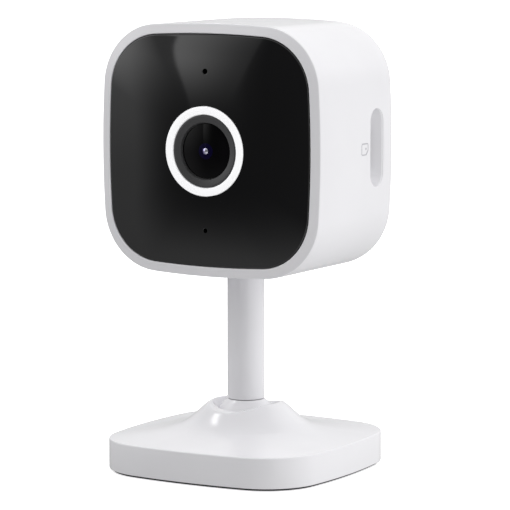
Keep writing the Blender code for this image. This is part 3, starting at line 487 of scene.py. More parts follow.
def add_facing(nodes, links, blend):
    layer = nodes.new("ShaderNodeLayerWeight")
    layer.inputs["Blend"].default_value = blend
    return layer.outputs["Facing"]


def make_lens_glass():
    """Coated glass: clear, with a faint blue cast."""
    material, nodes, links, shader = new_material("lens_glass")
    tint = add_noise(nodes, links, 80.0, 1.0)
    add_colour(nodes, links, shader, tint, (0.5, 0.52, 0.62), (0.6, 0.62, 0.7))
    shader.inputs["Transmission Weight"].default_value = 1.0
    shader.inputs["IOR"].default_value = 1.2      # its coating leaves it little reflection
    film = add_noise(nodes, links, 400.0, 2.0)
    add_gloss(nodes, links, shader, film, 0.0, 0.004)
    return material


def make_coated_element():
    """An inner lens whose thin coating shines deep blue to violet."""
    material, nodes, links, shader = new_material("coated_element")
    facing = add_facing(nodes, links, 0.35)
    add_colour(nodes, links, shader, facing, (0.004, 0.003, 0.022), (0.005, 0.002, 0.01), (0.0, 0.8))
    film = add_noise(nodes, links, 500.0, 2.0)
    add_gloss(nodes, links, shader, film, 0.0, 0.004)
    shader.inputs["IOR"].default_value = 1.13
    return material


def make_glass_painted_dark():
    """The front lens, opaque and near black: painted shade for the dark inside of the lens behind it, which is
    partly the black barrel's own colour and partly shade deep in the bore.
    """
    material, nodes, links, shader = new_material("glass_painted_dark")
    tint = add_noise(nodes, links, 120.0, 2.0)
    # painted shade: this near-black colour stands in for the shaded inside of the lens
    add_colour(nodes, links, shader, tint, (0.001, 0.0012, 0.001), (0.003, 0.0026, 0.0036))
    film = add_noise(nodes, links, 500.0, 2.0)
    add_gloss(nodes, links, shader, film, 0.02, 0.05)
    shader.inputs["IOR"].default_value = 1.25
    return material


def make_pupil_painted_highlight():
    """Painted highlight: a mirror-like dot for the lens's bright spot, nearly white where it faces the view and
    violet towards its edge.
    """
    material, nodes, links, shader = new_material("pupil_painted_highlight")
    facing = add_facing(nodes, links, 0.5)
    # painted highlight: the facing ramp makes the dot white where it faces the view
    add_colour(nodes, links, shader, facing, (0.75, 0.75, 0.85), (0.12, 0.08, 0.35), (0.1, 0.5))
    film = add_noise(nodes, links, 500.0, 2.0)
    add_gloss(nodes, links, shader, film, 0.0, 0.01)
    shader.inputs["Metallic"].default_value = 0.9
    return material


def make_filter_glass():
    material, nodes, links, shader = new_material("filter_glass")
    tint = add_noise(nodes, links, 90.0, 2.0)
    add_colour(nodes, links, shader, tint, (0.2, 0.04, 0.07), (0.32, 0.06, 0.1))
    add_gloss(nodes, links, shader, tint, 0.03, 0.08)
    shader.inputs["Coat Weight"].default_value = 0.6
    return material


def make_circuit_board():
    """Green solder mask with copper tracks under it."""
    material, nodes, links, shader = new_material("circuit_board")
    coordinates = nodes.new("ShaderNodeTexCoord")
    tracks = nodes.new("ShaderNodeTexBrick")
    tracks.inputs["Scale"].default_value = 260.0
    tracks.inputs["Mortar Size"].default_value = 0.03
    tracks.inputs["Color1"].default_value = (0.012, 0.09, 0.035, 1.0)
    tracks.inputs["Color2"].default_value = (0.018, 0.12, 0.05, 1.0)
    tracks.inputs["Mortar"].default_value = (0.05, 0.2, 0.08, 1.0)
    turn = nodes.new("ShaderNodeMapping")
    turn.inputs["Rotation"].default_value = (math.pi / 2, 0.0, 0.0)
    links.new(coordinates.outputs["Object"], turn.inputs["Vector"])
    links.new(turn.outputs["Vector"], tracks.inputs["Vector"])
    links.new(tracks.outputs["Color"], shader.inputs["Base Color"])
    gloss = add_noise(nodes, links, 300.0, 3.0)
    add_gloss(nodes, links, shader, gloss, 0.3, 0.5)
    add_bump(nodes, links, shader, tracks.outputs["Fac"], 0.00003)
    return material


def brushed(name, colour, roughness, stretch):
    """Plated or rolled metal with fine marks in one direction."""
    material, nodes, links, shader = new_material(name)
    coordinates = nodes.new("ShaderNodeTexCoord")
    stretched = nodes.new("ShaderNodeMapping")
    stretched.inputs["Scale"].default_value = stretch
    noise = nodes.new("ShaderNodeTexNoise")
    noise.inputs["Scale"].default_value = 900.0
    noise.inputs["Detail"].default_value = 3.0
    links.new(coordinates.outputs["Object"], stretched.inputs["Vector"])
    links.new(stretched.outputs["Vector"], noise.inputs["Vector"])
    low = tuple(value * 0.85 for value in colour)
    add_colour(nodes, links, shader, noise.outputs["Fac"], low, colour)
    add_gloss(nodes, links, shader, noise.outputs["Fac"], roughness * 0.7, roughness * 1.3)
    shader.inputs["Metallic"].default_value = 1.0
    add_bump(nodes, links, shader, noise.outputs["Fac"], 0.000008)
    return material


def make_floor_material():
    material, nodes, links, shader = new_material("floor_paper")
    cloud = add_noise(nodes, links, 3.0, 2.0)
    add_colour(nodes, links, shader, cloud, (0.9, 0.9, 0.9), (0.94, 0.94, 0.94))
    shader.inputs["Roughness"].default_value = 0.9
    shader.inputs["Specular IOR Level"].default_value = 0.1
    shader.inputs["Emission Color"].default_value = (1.0, 1.0, 1.0, 1.0)
    shader.inputs["Emission Strength"].default_value = 0.6
    return material


MATERIALS = {
    "white_plastic": moulded("white_plastic", (0.83, 0.825, 0.85), 0.17, 0.000002),
    "black_window": make_black_window(),
    "ring_white": make_lit_ring(),
    "satin_black": moulded("satin_black", (0.052, 0.052, 0.054), 0.4, 0.000003, 0.08, 2600.0, 0.4),
    "barrel_black": moulded("barrel_black", (0.002, 0.002, 0.003), 0.6, 0.0000005, 0.2, 2600.0, 0.0),
    "dark_plastic": moulded("dark_plastic", (0.045, 0.045, 0.05), 0.42, 0.00001, 0.08),
    "lens_glass": make_lens_glass(),
    "coated_element": make_coated_element(),
    "glass_painted_dark": make_glass_painted_dark(),
    "pupil_painted_highlight": make_pupil_painted_highlight(),
    "filter_glass": make_filter_glass(),
    "circuit_board": make_circuit_board(),
    "chip_black": moulded("chip_black", (0.018, 0.018, 0.02), 0.5, 0.00001, 0.15, 4000.0),
    "steel": brushed("steel", (0.6, 0.6, 0.61), 0.32, (1.0, 1.0, 8.0)),
    "aluminium": brushed("aluminium", (0.78, 0.78, 0.8), 0.38, (8.0, 1.0, 1.0)),
    "rubber": moulded("rubber", (0.035, 0.035, 0.04), 0.78, 0.00003, 0.1, 1500.0, 0.3),
    "grey_plastic": moulded("grey_plastic", (0.42, 0.42, 0.44), 0.45, 0.000008, 0.04),
    "mark_grey": moulded("mark_grey", (0.5, 0.5, 0.53), 0.5, 0.000002, 0.03),
}


def finish_piece(item, body, slot, replaces=(), material=None, angle=32.0):
    """Give a piece its finish, shade it, and let it ride on its body."""
    item.data.materials.clear()
    item.data.materials.append(MATERIALS[material or slot])
    smooth(item, angle)
    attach(item, body)
    if replaces:
        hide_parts(*replaces)
    return item


# ---------------------------------------------------------------- head
def head_point(across, up):
    return (across, 0.0, HEAD_HEIGHT + up)


def recess_cutter():
    """The finger recess: its rear side slopes in, and its rim and floor are softly rounded."""
    surface = HEAD_HALF - (RECESS_LENGTH / 4) ** 2 / (2 * HEAD_BOW)
    soft = RECESS_SOFTNESS
    rings = [(share, RECESS_FLOOR + rise, 0.0)
             for share, rise in ((1.0, 0.0), (0.96, 0.05 * MM), (0.9, 0.16 * MM))]
    rings.append((soft / RECESS_DEPTH, surface - soft, 0.0))
    steps = 5
    for step in range(1, steps + 1):
        angle = math.pi / 2 * step / steps
        rings.append((0.0, surface - soft + soft * math.sin(angle), soft * (1 - math.cos(angle))))
    rings.append((0.0, surface + soft, soft * MOUTH_GROWTH))
    outlines = []
    for share, level, grow in rings:
        width = RECESS_WIDTH - RECESS_SLOPE_RUN * share + 2 * grow
        length = RECESS_LENGTH - 2 * RECESS_END_RUN * share + 2 * grow
        shift = RECESS_SLOPE_RUN * share / 2
        outlines.append(([(u - shift, v) for u, v in stadium(width, length)], level))
    return loft(outlines)


def make_head_shell():
    """The housing, with softened edges, the finger recess, the card slot and the hole for the stem."""
    rim = BEZEL_EDGE - RIM_DROP
    opening = COVER_HALF + WINDOW_GAP
    bezel_half = WINDOW_HALF + WINDOW_GAP
    ledge_half = WINDOW_HALF - WINDOW_LEDGE_WIDTH
    ledge_front = WINDOW_BACK - WINDOW_LEDGE_GAP
    ledge_back = ledge_front - WINDOW_LEDGE_THICKNESS
    inner = HEAD_HALF - HEAD_WALL
    seat_half = opening - COVER_SEAT_WIDTH
    seat = HEAD_BACK + COVER_SEAT_DEPTH
    seat_front = seat + COVER_SEAT_DEPTH
    corners = [
        (HEAD_HALF, rim, RIM_RADIUS),
        (HEAD_HALF, HEAD_BACK, HEAD_BACK_FILLET),
        (opening, HEAD_BACK, 0.25 * MM),
        (opening, seat, 0.0),
        (seat_half, seat, 0.2 * MM),
        (seat_half, seat_front, 0.2 * MM),
        (inner - HEAD_WALL, seat_front, 0.3 * MM),
        (inner, seat_front + HEAD_WALL, 0.3 * MM),
        (inner, ledge_back, 0.3 * MM),
        (ledge_half, ledge_back, 0.2 * MM),
        (ledge_half, ledge_front, 0.1 * MM),
        (bezel_half, ledge_front, 0.0),
        (bezel_half, BEZEL_EDGE, 0.22 * MM),
    ]
    rings = []
    for half, level in filleted(corners, 6):
        by_window = abs(half - bezel_half) < BEZEL_BAND and level > 0
        rings.append((window_outline(half) if by_window else head_outline(half), level))
    shell = place("head_housing", loft(rings, loop=True), HEAD_CENTRE, FORWARD)
    middle = (0.0, RECESS_BACK, HEAD_HEIGHT)
    pocket_floor = RECESS_FLOOR - RECESS_WALL
    pocket = stadium(RECESS_WIDTH + 2 * RECESS_WALL, RECESS_LENGTH + 2 * RECESS_WALL)
    boss = loft([(pocket, pocket_floor), (pocket, HEAD_HALF - HEAD_WALL / 2)])
    cut(shell, [place("recess_boss", boss, middle, RIGHTWARD)], "UNION")
    recess_tool = place("recess_tool", recess_cutter(), middle, RIGHTWARD)
    thickness, width = CARD_HIGH.y - CARD_LOW.y, CARD_HIGH.z - CARD_LOW.z
    slot_mesh = flared_cutter(box_outline(thickness + CARD_ROOM, width + CARD_ROOM, 0.4 * MM),
                              pocket_floor - 1 * MM, RECESS_FLOOR, 0.15 * MM)
    slot_tool = place("slot_tool", slot_mesh, middle, RIGHTWARD)
    hole = flared_cutter(round_outline(STEM_RADIUS + STEM_HOLE_GAP), -2 * HEAD_WALL, 0.0, 0.2 * MM)
    hole_tool = place("hole_tool", hole, (0, 0, HEAD_HEIGHT - HEAD_HALF), DOWNWARD)
    cut(shell, [recess_tool, slot_tool, hole_tool])
    finish_piece(shell, "head", "white_plastic", ["head_shell"])
    weighted(shell)


def mark_outline(grow):
    """A card's outline with three round corners and one clipped, grown on every side."""
    half_width, half_height = MARK_WIDTH / 2 + grow, MARK_HEIGHT / 2 + grow
    radius = MARK_CORNER + grow
    points = []
    steps = 6
    for quarter, (u, v) in enumerate(((1, 1), (-1, 1), (-1, -1))):
        for step in range(steps + 1):
            angle = math.pi / 2 * (quarter + step / steps)
            points.append((u * (half_width - radius) + radius * math.cos(angle),
                           v * (half_height - radius) + radius * math.sin(angle)))
    points.append((half_width - MARK_CLIP, -half_height))
    points.append((half_width, -half_height + MARK_CLIP))
    return points


def make_card_mark():
    """A small outlined card with a clipped corner, by the recess."""
    low, high = HEAD_HALF, HEAD_HALF + MARK_THICKNESS
    outer, inner = mark_outline(0), mark_outline(-MARK_LINE)
    border = loft([(outer, low), (outer, high), (inner, high), (inner, low)], loop=True)
    spot = circle(0.3 * MM, 20)
    dot = moved(loft([(spot, low), (spot, high)]), (0.5 * MM, 0.1 * MM, 0))
    mark = place("card_mark", gathered([border, dot]), (0.0, MARK_BACK, HEAD_HEIGHT), RIGHTWARD)
    finish_piece(mark, "head", "white_plastic", material="mark_grey")


def window_face(reach):
    """Level of the window's domed face, at a share of the way out from its middle."""
    return BEZEL_EDGE + WINDOW_DOME * (1 - reach ** WINDOW_DOME_POWER)


def make_front_window():
    """The domed dark window, with softened edges and two pin holes."""
    edge = window_outline(WINDOW_HALF)
    hole_radius = RING_OUTER + WINDOW_HOLE_GAP
    hole = round_like(edge, hole_radius)
    lip = WINDOW_LIP
    rings = [(edge, WINDOW_BACK)]
    lip_steps = 6
    for step in range(lip_steps):
        angle = math.pi / 2 * step / lip_steps
        rings.append((window_outline(WINDOW_HALF - lip + lip * math.cos(angle)),
                      BEZEL_EDGE - lip + lip * math.sin(angle)))
    start = window_outline(WINDOW_HALF - lip)
    steps = 28
    for step in range(steps + 1):
        share = (step / steps) ** 1.3       # the rings are closest near the edge, where it curves most
        reach = 1 - share * (1 - hole_radius / WINDOW_HALF)
        rings.append((between(start, hole, share), window_face(reach)))
    hollow = window_outline(WINDOW_HALF - WINDOW_BORDER)
    ceiling = WINDOW_BACK + WINDOW_HOLLOW
    rings += [(hole, ceiling), (hollow, ceiling), (hollow, WINDOW_BACK)]
    window = place("dark_window", loft(rings, loop=True), HEAD_CENTRE, FORWARD)
    tools = []
    for radius, side in ((UPPER_PIN_RADIUS, 1), (LOWER_PIN_RADIUS, -1)):
        surface = window_face(PIN_HOLE_OFFSET / WINDOW_HALF)
        tool = flared_cutter(round_outline(radius, 40), WINDOW_BACK, surface, 0.12 * MM)
        tools.append(place("pin_tool", tool, head_point(0, side * PIN_HOLE_OFFSET), FORWARD))
    cut(window, tools)
    finish_piece(window, "head", "black_window", ["front_window"])
    weighted(window)


def make_lens_rings():
    """The white ring, and inside it the dark bevelled ring with its grooved bore."""
    ring_inner = BEZEL_RADIUS + 0.3 * MM
    ring = turned([
        (RING_OUTER, RING_BACK, 0.0), (RING_OUTER, RING_FACE, 0.16 * MM),
        (ring_inner, RING_FACE, 0.16 * MM), (ring_inner, RING_BACK, 0.0),
    ], 160)
    finish_piece(place("white_ring", ring, HEAD_CENTRE, FORWARD), "head", "ring_white", ["light_ring"])

    face, back = -BEZEL_LOW.y, -BEZEL_HIGH.y
    outer = BEZEL_RADIUS + 0.18 * MM
    bevel_foot = face - LENS_BEVEL_DEPTH
    profile = [(outer, back, 0.0), (outer, face - 0.05 * MM, 0.12 * MM),
               (BEZEL_RADIUS - 0.25 * MM, face, 0.1 * MM), (LENS_BORE, bevel_foot, 0.08 * MM)]
    for count in range(GROOVES):
        level = bevel_foot - GROOVE_LENGTH * (count + 1)
        profile += [(LENS_BORE - GROOVE_STEP * count, level, 0.0),
                    (LENS_BORE - GROOVE_STEP * (count + 1), level, 0.0)]
    profile.append((LENS_BORE - GROOVE_STEP * GROOVES, back, 0.0))
    finish_piece(place("bevel_ring", turned(profile, 160), HEAD_CENTRE, FORWARD), "head", "dark_plastic",
                 ["lens_bezel"], material="satin_black")


def make_lens():
    """The front lens with the element and bright spot at its middle, then the barrel and rear lens."""
    glass_radius = (GLASS_HIGH.x - GLASS_LOW.x) / 2
    apex = -GLASS_LOW.y
    back = apex - ELEMENT_BACK
    front_glass = lens_dome(glass_radius, apex - GLASS_BACK, apex - 0.3 * MM, GLASS_DOME)
    element = lens_dome(ELEMENT_RADIUS, back, apex - 0.2 * MM, ELEMENT_DOME)
    # a mirror dot that paints the highlight at the lens's middle
    pupil = lens_dome(HIGHLIGHT_DOT_RADIUS, back, apex, HIGHLIGHT_DOT_DOME)
    # the front glass is painted near black for the shaded inside of the lens
    for name, mesh, finish in (("front_glass", front_glass, "glass_painted_dark"),
                               ("inner_element", element, "coated_element"),
                               ("pupil_reflection", pupil, "pupil_painted_highlight")):
        finish_piece(place(name, mesh, HEAD_CENTRE, FORWARD), "head", "lens_glass",
                     ["lens_front_glass"], material=finish)

    barrel_radius = (BARREL_HIGH.x - BARREL_LOW.x) / 2
    corners = [(barrel_radius, -BARREL_HIGH.y), (barrel_radius, -BARREL_LOW.y),
               (REAR_RADIUS, -BARREL_LOW.y), (REAR_RADIUS, -BARREL_HIGH.y)]
    tube = turned([(radius, level, 0.1 * MM) for radius, level in corners], 128)
    finish_piece(place("lens_barrel_tube", tube, HEAD_CENTRE, FORWARD), "head", "dark_plastic",
                 ["lens_barrel"], material="barrel_black")
    rear_glass = lens_dome(REAR_RADIUS - 0.05 * MM, -REAR_HIGH.y, -REAR_LOW.y, 0.5 * MM)
    finish_piece(place("rear_glass", rear_glass, HEAD_CENTRE, FORWARD), "head", "lens_glass",
                 ["lens_rear_element"])


def lens_dome(radius, back, front, dome, steps=14):
    """A lens: flat behind, domed in front, closed at its pole by a small flat."""
    rings = [(circle(radius), back), (circle(radius), front - dome)]
    for step in range(1, steps + 1):
        share = math.cos(math.pi / 2 * step / steps) if step < steps else 0.01
        rings.append((circle(radius * share), front - dome * share ** 2))
    return loft(rings)


# ---------------------------------------------------------------- back of the head
def make_rear_cover():
    """The rear cover, with softened openings for the speaker, the power port and the setup button."""
    edge = COVER_HALF
    rings = [(head_outline(half), level) for half, level in
             [(edge - 0.25 * MM, HEAD_BACK), (edge - 0.07 * MM, HEAD_BACK + 0.07 * MM),
              (edge, HEAD_BACK + 0.25 * MM), (edge, HEAD_BACK + COVER_THICKNESS)]]
    cover = place("back_cover", loft(rings), HEAD_CENTRE, FORWARD)
    face = HEAD_HIGH.y
    start = face - COVER_CUT

    speaker = middle_of(SPEAKER_LOW, SPEAKER_HIGH)
    places = [(0.0, 0.0)]
    for step in range(6):
        angle = math.pi / 3 * step
        places.append((GRILLE_REACH * math.cos(angle), GRILLE_REACH * math.sin(angle)))
    holes = [moved(flared_cutter(round_outline(GRILLE_HOLE_RADIUS, 32), start, face, 0.2 * MM),
                   (speaker.x + across, -(speaker.z - HEAD_HEIGHT + up), 0)) for across, up in places]
    tools = [place("grille_tool", gathered(holes), HEAD_CENTRE, BACKWARD)]

    port, port_size = middle_of(PORT_LOW, PORT_HIGH), PORT_HIGH - PORT_LOW
    outline_at = box_outline(port_size.x + PORT_ROOM, port_size.z + PORT_ROOM, 1.2 * MM)
    port_tool = flared_cutter(outline_at, start, face, 0.25 * MM)
    tools.append(place("port_tool", port_tool, (0, 0, port.z), BACKWARD))

    button = middle_of(BUTTON_LOW, BUTTON_HIGH)
    button_tool = flared_cutter(round_outline(BUTTON_RADIUS + BUTTON_GAP, 48), start, face, 0.2 * MM)
    tools.append(place("button_tool", button_tool, (button.x, 0, button.z), BACKWARD))
    cut(cover, tools)
    finish_piece(cover, "head", "white_plastic", ["rear_cover"])
    weighted(cover)


def make_power_port():
    """A pressed steel shell with a tongue inside."""
    size = PORT_HIGH - PORT_LOW
    mouth = PORT_HIGH.y
    middle = (0, 0, middle_of(PORT_LOW, PORT_HIGH).z)
    outside = rounded_box(size.x, size.z, 1.1 * MM)
    inside = rounded_box(size.x - 2 * PORT_WALL, size.z - 2 * PORT_WALL, 0.8 * MM)
    shell = loft([(outside, PORT_LOW.y), (outside, mouth), (inside, mouth), (inside, mouth - PORT_DEPTH)])
    finish_piece(place("port_shell", shell, middle, BACKWARD), "head", "steel", ["power_port"])
    thick = rounded_box(size.x - 3 * MM, 0.7 * MM, 0.2 * MM)
    tip = rounded_box(size.x - 3.4 * MM, 0.5 * MM, 0.15 * MM)
    tongue = loft([(thick, mouth - PORT_DEPTH + 0.1 * MM), (thick, mouth - 1.0 * MM),
                   (tip, mouth - 0.8 * MM)])
    finish_piece(place("port_tongue", tongue, middle, BACKWARD), "head", "chip_black")


def make_setup_button():
    """The button's cap, dished a little, with its flange and stalk."""
    face = BUTTON_HIGH.y
    flange_radius = (BUTTON_HIGH.x - BUTTON_LOW.x) / 2
    flange = COVER_HIGH.y - COVER_SEAT_DEPTH
    flange_end = flange - BUTTON_FLANGE
    corners = [
        (BUTTON_STALK_RADIUS, BUTTON_LOW.y, 0.0), (BUTTON_STALK_RADIUS, flange_end, 0.0),
        (flange_radius, flange_end, 0.1 * MM), (flange_radius, flange, 0.1 * MM),
        (BUTTON_RADIUS, flange, 0.0), (BUTTON_RADIUS, face, 0.25 * MM),
        (BUTTON_RADIUS * 0.6, face - 0.06 * MM, 0.0), (BUTTON_RADIUS * 0.2, face - 0.12 * MM, 0.0),
    ]
    middle = middle_of(BUTTON_LOW, BUTTON_HIGH)
    button = place("push_button", turned(corners, 64, loop=False), (middle.x, 0, middle.z), BACKWARD)
    finish_piece(button, "button", "grey_plastic", ["setup_button"])


def make_card():
    """The memory card, with rounded corners and a raised grip edge."""
    thickness, width = CARD_HIGH.y - CARD_LOW.y, CARD_HIGH.z - CARD_LOW.z
    body_thickness = thickness * 0.7
    body = rounded_box(body_thickness, width, 0.2 * MM)
    grip = rounded_box(thickness, width, 0.25 * MM)
    rings = [
        (rounded_box(body_thickness, width - 0.6 * MM, 0.2 * MM), CARD_LOW.x),
        (body, CARD_LOW.x + 0.4 * MM), (body, CARD_HIGH.x - 1.2 * MM),
        (grip, CARD_HIGH.x - 0.9 * MM), (grip, CARD_HIGH.x - 0.15 * MM),
        (rounded_box(thickness - 0.2 * MM, width - 0.3 * MM, 0.2 * MM), CARD_HIGH.x),
    ]
    where = (0.0, RECESS_BACK, HEAD_HEIGHT)
    finish_piece(place("card", loft(rings), where, RIGHTWARD), "card", "chip_black", ["memory_card"])


# ---------------------------------------------------------------- stem and ball
def make_stem():
    bore = STEM_RADIUS - STEM_WALL
    bottom = STEM_FOOT + STEM_FOOT_GAP
    stem = turned([
        (STEM_RADIUS, bottom, 0.2 * MM), (STEM_RADIUS, STEM_HIGH.z, 0.2 * MM),
        (bore, STEM_HIGH.z, 0.1 * MM), (bore, bottom, 0.1 * MM),
    ], 160)
    finish_piece(place("stem_tube", stem, (0, 0, 0)), "head", "white_plastic", ["stem"])


def make_ball():
    """The ball, with its flat underneath and the spigot that the stem turns on."""
    flat = BALL_HEIGHT - BALL_LOW.z
    start = math.acos(-flat / BALL_RADIUS)
    finish = math.acos((STEM_FOOT - BALL_HEIGHT) / BALL_RADIUS)
    steps = 40
    profile = []
    for step in range(steps + 1):
        angle = start + (finish - start) * step / steps
        profile.append((BALL_RADIUS * math.sin(angle), BALL_HEIGHT + BALL_RADIUS * math.cos(angle)))
    spigot = STEM_RADIUS - STEM_WALL - SPIGOT_GAP
    bevel = 0.3 * MM
    profile += [(spigot, STEM_FOOT), (spigot, BALL_HIGH.z - bevel), (spigot - bevel, BALL_HIGH.z),
                (SPIGOT_BORE, BALL_HIGH.z), (SPIGOT_BORE, STEM_FOOT - 1 * MM)]
    mesh = loft([(circle(radius, 128), level) for radius, level in profile])
    finish_piece(place("ball", mesh, (0, 0, 0)), "ball", "white_plastic", ["ball_foot"])


# ---------------------------------------------------------------- base
def soft_least(first, second, blend):
    """The lesser of two heights, with a smooth change from one to the other."""
    gap = (first - second) / blend
    if abs(gap) > 30:       # further apart than the blend reaches
        return min(first, second)
    return second - blend * math.log(1 + math.exp(-gap))


def top_height(across, radius):
    """Height of the base's top: a gentle crown, the mound, and the saddle cut across its rim."""
    reach = radius / BASE_HALF
    crown = CROWN * (1 - reach ** 2)
    mound = MOUND_RISE / (1 + (radius / MOUND_HALF_RADIUS) ** MOUND_POWER)
    edge = MOUND_RISE / (1 + (BASE_HALF / MOUND_HALF_RADIUS) ** MOUND_POWER)
    height = BASE_EDGE_HEIGHT + crown + (mound - edge) * (1 - reach ** 6)
    height = soft_least(height, MOUND_TOP, 0.12 * MM)
    saddle = SADDLE_HEIGHT + SADDLE_RADIUS - math.sqrt(max(SADDLE_RADIUS ** 2 - across ** 2, 0.0))
    return soft_least(height, saddle, 0.1 * MM)


def make_base_shell():
    """The base: upright wall, softened crease, the mound with its saddle, and the socket."""
    edge = base_outline(BASE_HALF)
    inner_half = BASE_HALF - BASE_WALL
    floor = BASE_LOW.z
    ceiling = BASE_EDGE_HEIGHT - BASE_WALL
    seat = BALL_RADIUS + SOCKET_GAP
    crease = BASE_CREASE
    rings = [
        (round_like(edge, 12 * MM), MOUND_CORE - 0.5 * MM), (base_outline(inner_half), ceiling),
        (base_outline(inner_half), floor + 0.15 * MM), (base_outline(inner_half + 0.15 * MM), floor),
        (base_outline(BASE_HALF - 0.25 * MM), floor),
        (base_outline(BASE_HALF - 0.07 * MM), floor + 0.07 * MM),
        (edge, floor + 0.25 * MM),
    ]
    steps = 6
    for step in range(steps + 1):
        angle = math.pi / 2 * step / steps
        rings.append((base_outline(BASE_HALF - crease + crease * math.cos(angle)),
                      BASE_EDGE_HEIGHT - crease + crease * math.sin(angle)))
    # from the crease inwards the rings change from the base's outline to a circle
    start = base_outline(BASE_HALF - crease)
    steps = 16
    for step in range(1, steps + 1):
        share = step / steps
        outline = between(start, round_like(edge, ROUND_RADIUS), share)
        radius = BASE_HALF + (ROUND_RADIUS - BASE_HALF) * share
        rings.append((outline, [top_height(u, radius) for u, _ in outline]))
    # the crater's edge lies on a cone, which opens upwards from the socket's lip
    lip_radius = math.sqrt(seat ** 2 - (CRATER_LIP - BALL_HEIGHT) ** 2)
    slope = (CRATER_RADIUS - lip_radius) / (MOUND_TOP - CRATER_LIP)
    brink = []
    for u, v in edge:
        angle = math.atan2(v, u)
        radius = CRATER_RADIUS
        for _ in range(8):      # closes in on the point where the cone meets the top
            height = top_height(radius * math.cos(angle), radius)
            radius = lip_radius + slope * (height - CRATER_LIP)
        brink.append((angle, radius, height))
    steps = 30
    for step in range(1, steps + 1):
        share = step / steps
        outline, levels = [], []
        for angle, last, _ in brink:
            radius = ROUND_RADIUS + (last - ROUND_RADIUS) * share
            across, along = radius * math.cos(angle), radius * math.sin(angle)
            outline.append((across, along))
            levels.append(top_height(across, radius))
        rings.append((outline, levels))
    sharp_ring = len(rings) - 1
    steps = 6
    for step in range(1, steps + 1):
        share = step / steps
        outline, levels = [], []
        for angle, last, height in brink:
            level = height + (CRATER_LIP - height) * share
            radius = lip_radius + slope * (level - CRATER_LIP)
            outline.append((radius * math.cos(angle), radius * math.sin(angle)))
            levels.append(level)
        rings.append((outline, levels))
    steps = 8
    for step in range(1, steps + 1):
        level = CRATER_LIP + (MOUND_CORE - CRATER_LIP) * step / steps
        radius = math.sqrt(seat ** 2 - (level - BALL_HEIGHT) ** 2)
        rings.append((round_like(edge, radius), level))
    rings.append((round_like(edge, 10.2 * MM), MOUND_CORE))
    mesh = loft(rings, loop=True)
    count = len(edge)
    mesh.verts.ensure_lookup_table()
    ring_verts = {mesh.verts[sharp_ring * count + index] for index in range(count)}
    edges = [line for line in mesh.edges if line.verts[0] in ring_verts and line.verts[1] in ring_verts]
    bmesh.ops.bevel(mesh, geom=edges, offset=CRATER_SOFTNESS, segments=4, affect="EDGES", profile=0.5)
    finish_piece(place("base_housing", mesh, (0, 0, 0)), "base", "white_plastic",
                 ["base_shell"], angle=60.0)


def make_rubber_pad():
    """The pad, with its thin lip under the base's wall."""
    lip_half = (PAD_HIGH.x - PAD_LOW.x) / 2
    lip_top = PAD_LOW.z + PAD_LIP
    body_half = BASE_HALF - BASE_WALL - PAD_GAP
    rings = [(base_outline(half), level) for half, level in
             [(lip_half - 0.1 * MM, PAD_LOW.z), (lip_half, PAD_LOW.z + 0.1 * MM),
              (lip_half, lip_top), (body_half, lip_top), (body_half, PAD_HIGH.z)]]
    finish_piece(place("grip_pad", loft(rings), (0, 0, 0)), "base", "rubber", ["rubber_pad"])


def finish_inner_nodes():
    """Every CAD node that still shows gets the material of its slot."""
    slots = {part["node"]: part["material_slot"] for part in frame["record"]["subparts"]}
    for name, item in frame["nodes"].items():
        item.data.materials.clear()
        item.data.materials.append(MATERIALS[slots[name]])
        smooth(item, 35.0)


# ---------------------------------------------------------------- stage, light and camera
FLOOR_HALF = 6.0
FLOOR_LEVEL = -0.15 * MM


def make_floor():
    mesh = bmesh.new()
    corners = ((-1, -1), (1, -1), (1, 1), (-1, 1))
    mesh.faces.new([mesh.verts.new((u * FLOOR_HALF, v * FLOOR_HALF, FLOOR_LEVEL)) for u, v in corners])
    floor = place("floor", mesh, (0, 0, 0))
    floor.data.materials.append(make_floor_material())
    floor.visible_diffuse = False       # the studio's own light stands in for the floor's glow
    floor.visible_glossy = False


def add_math(nodes, links, operation, *terms):
    """A maths node. Each term is a number or another node's output."""
    step = nodes.new("ShaderNodeMath")
    step.operation = operation
    for socket, term in zip(step.inputs, terms):
        if isinstance(term, (int, float)):
            socket.default_value = term
        else:
            links.new(term, socket)
    return step.outputs["Value"]


def add_edge(nodes, links, source, low, high):
    """A smooth rise from 0 to 1 between two angles in degrees, or a fall if they are given in reverse."""
    edge = nodes.new("ShaderNodeMapRange")
    edge.interpolation_type = "SMOOTHSTEP"
    edge.inputs["From Min"].default_value = math.radians(min(low, high))
    edge.inputs["From Max"].default_value = math.radians(max(low, high))
    edge.inputs["To Min"].default_value = 0.0 if low < high else 1.0
    edge.inputs["To Max"].default_value = 1.0 if low < high else 0.0
    links.new(source, edge.inputs["Value"])
    return edge.outputs["Result"]


def add_panel(nodes, links, azimuth, elevation, across, upright, level):
    """A soft-edged patch of the studio. Its sides and its lower and upper edges are pairs of angles."""
    product = level
    for source, edges in ((azimuth, across), (elevation, upright)):
        for low, high in edges:
            edge = add_edge(nodes, links, source, low, high)
            product = add_math(nodes, links, "MULTIPLY", edge, product)
    return product


STUDIO_LEVEL = 0.79
STUDIO_SLOPE = (0.4, 0.0, 0.2)          # brightest towards the right and above
PANEL_LEAN = -0.105                     # how the panels' upright edges lean
# Angles in degrees, as (low, high) for a rise and (high, low) for a fall: leftwards from the front,
# and then upwards from level. The last number is the panel's own brightness.
DIM_FRONT = ((-56, -30), (46, 32)), ((-30, -6), (48, 22)), -0.84
LEFT_PANEL = ((23, 54), (100, 76)), ((-7, 9), (60, 36)), 1.45
FRONT_PANEL = ((27, 34), (32.75, 32.5)), ((-5, 11), (60, 35)), 1.45
HIGH_PANEL = ((77.5, 78.5), (90, 89)), ((47, 48), (60, 59.5)), 8.5
BACK_PANEL = ((100, 130),), ((4, 18), (70, 45)), 0.3


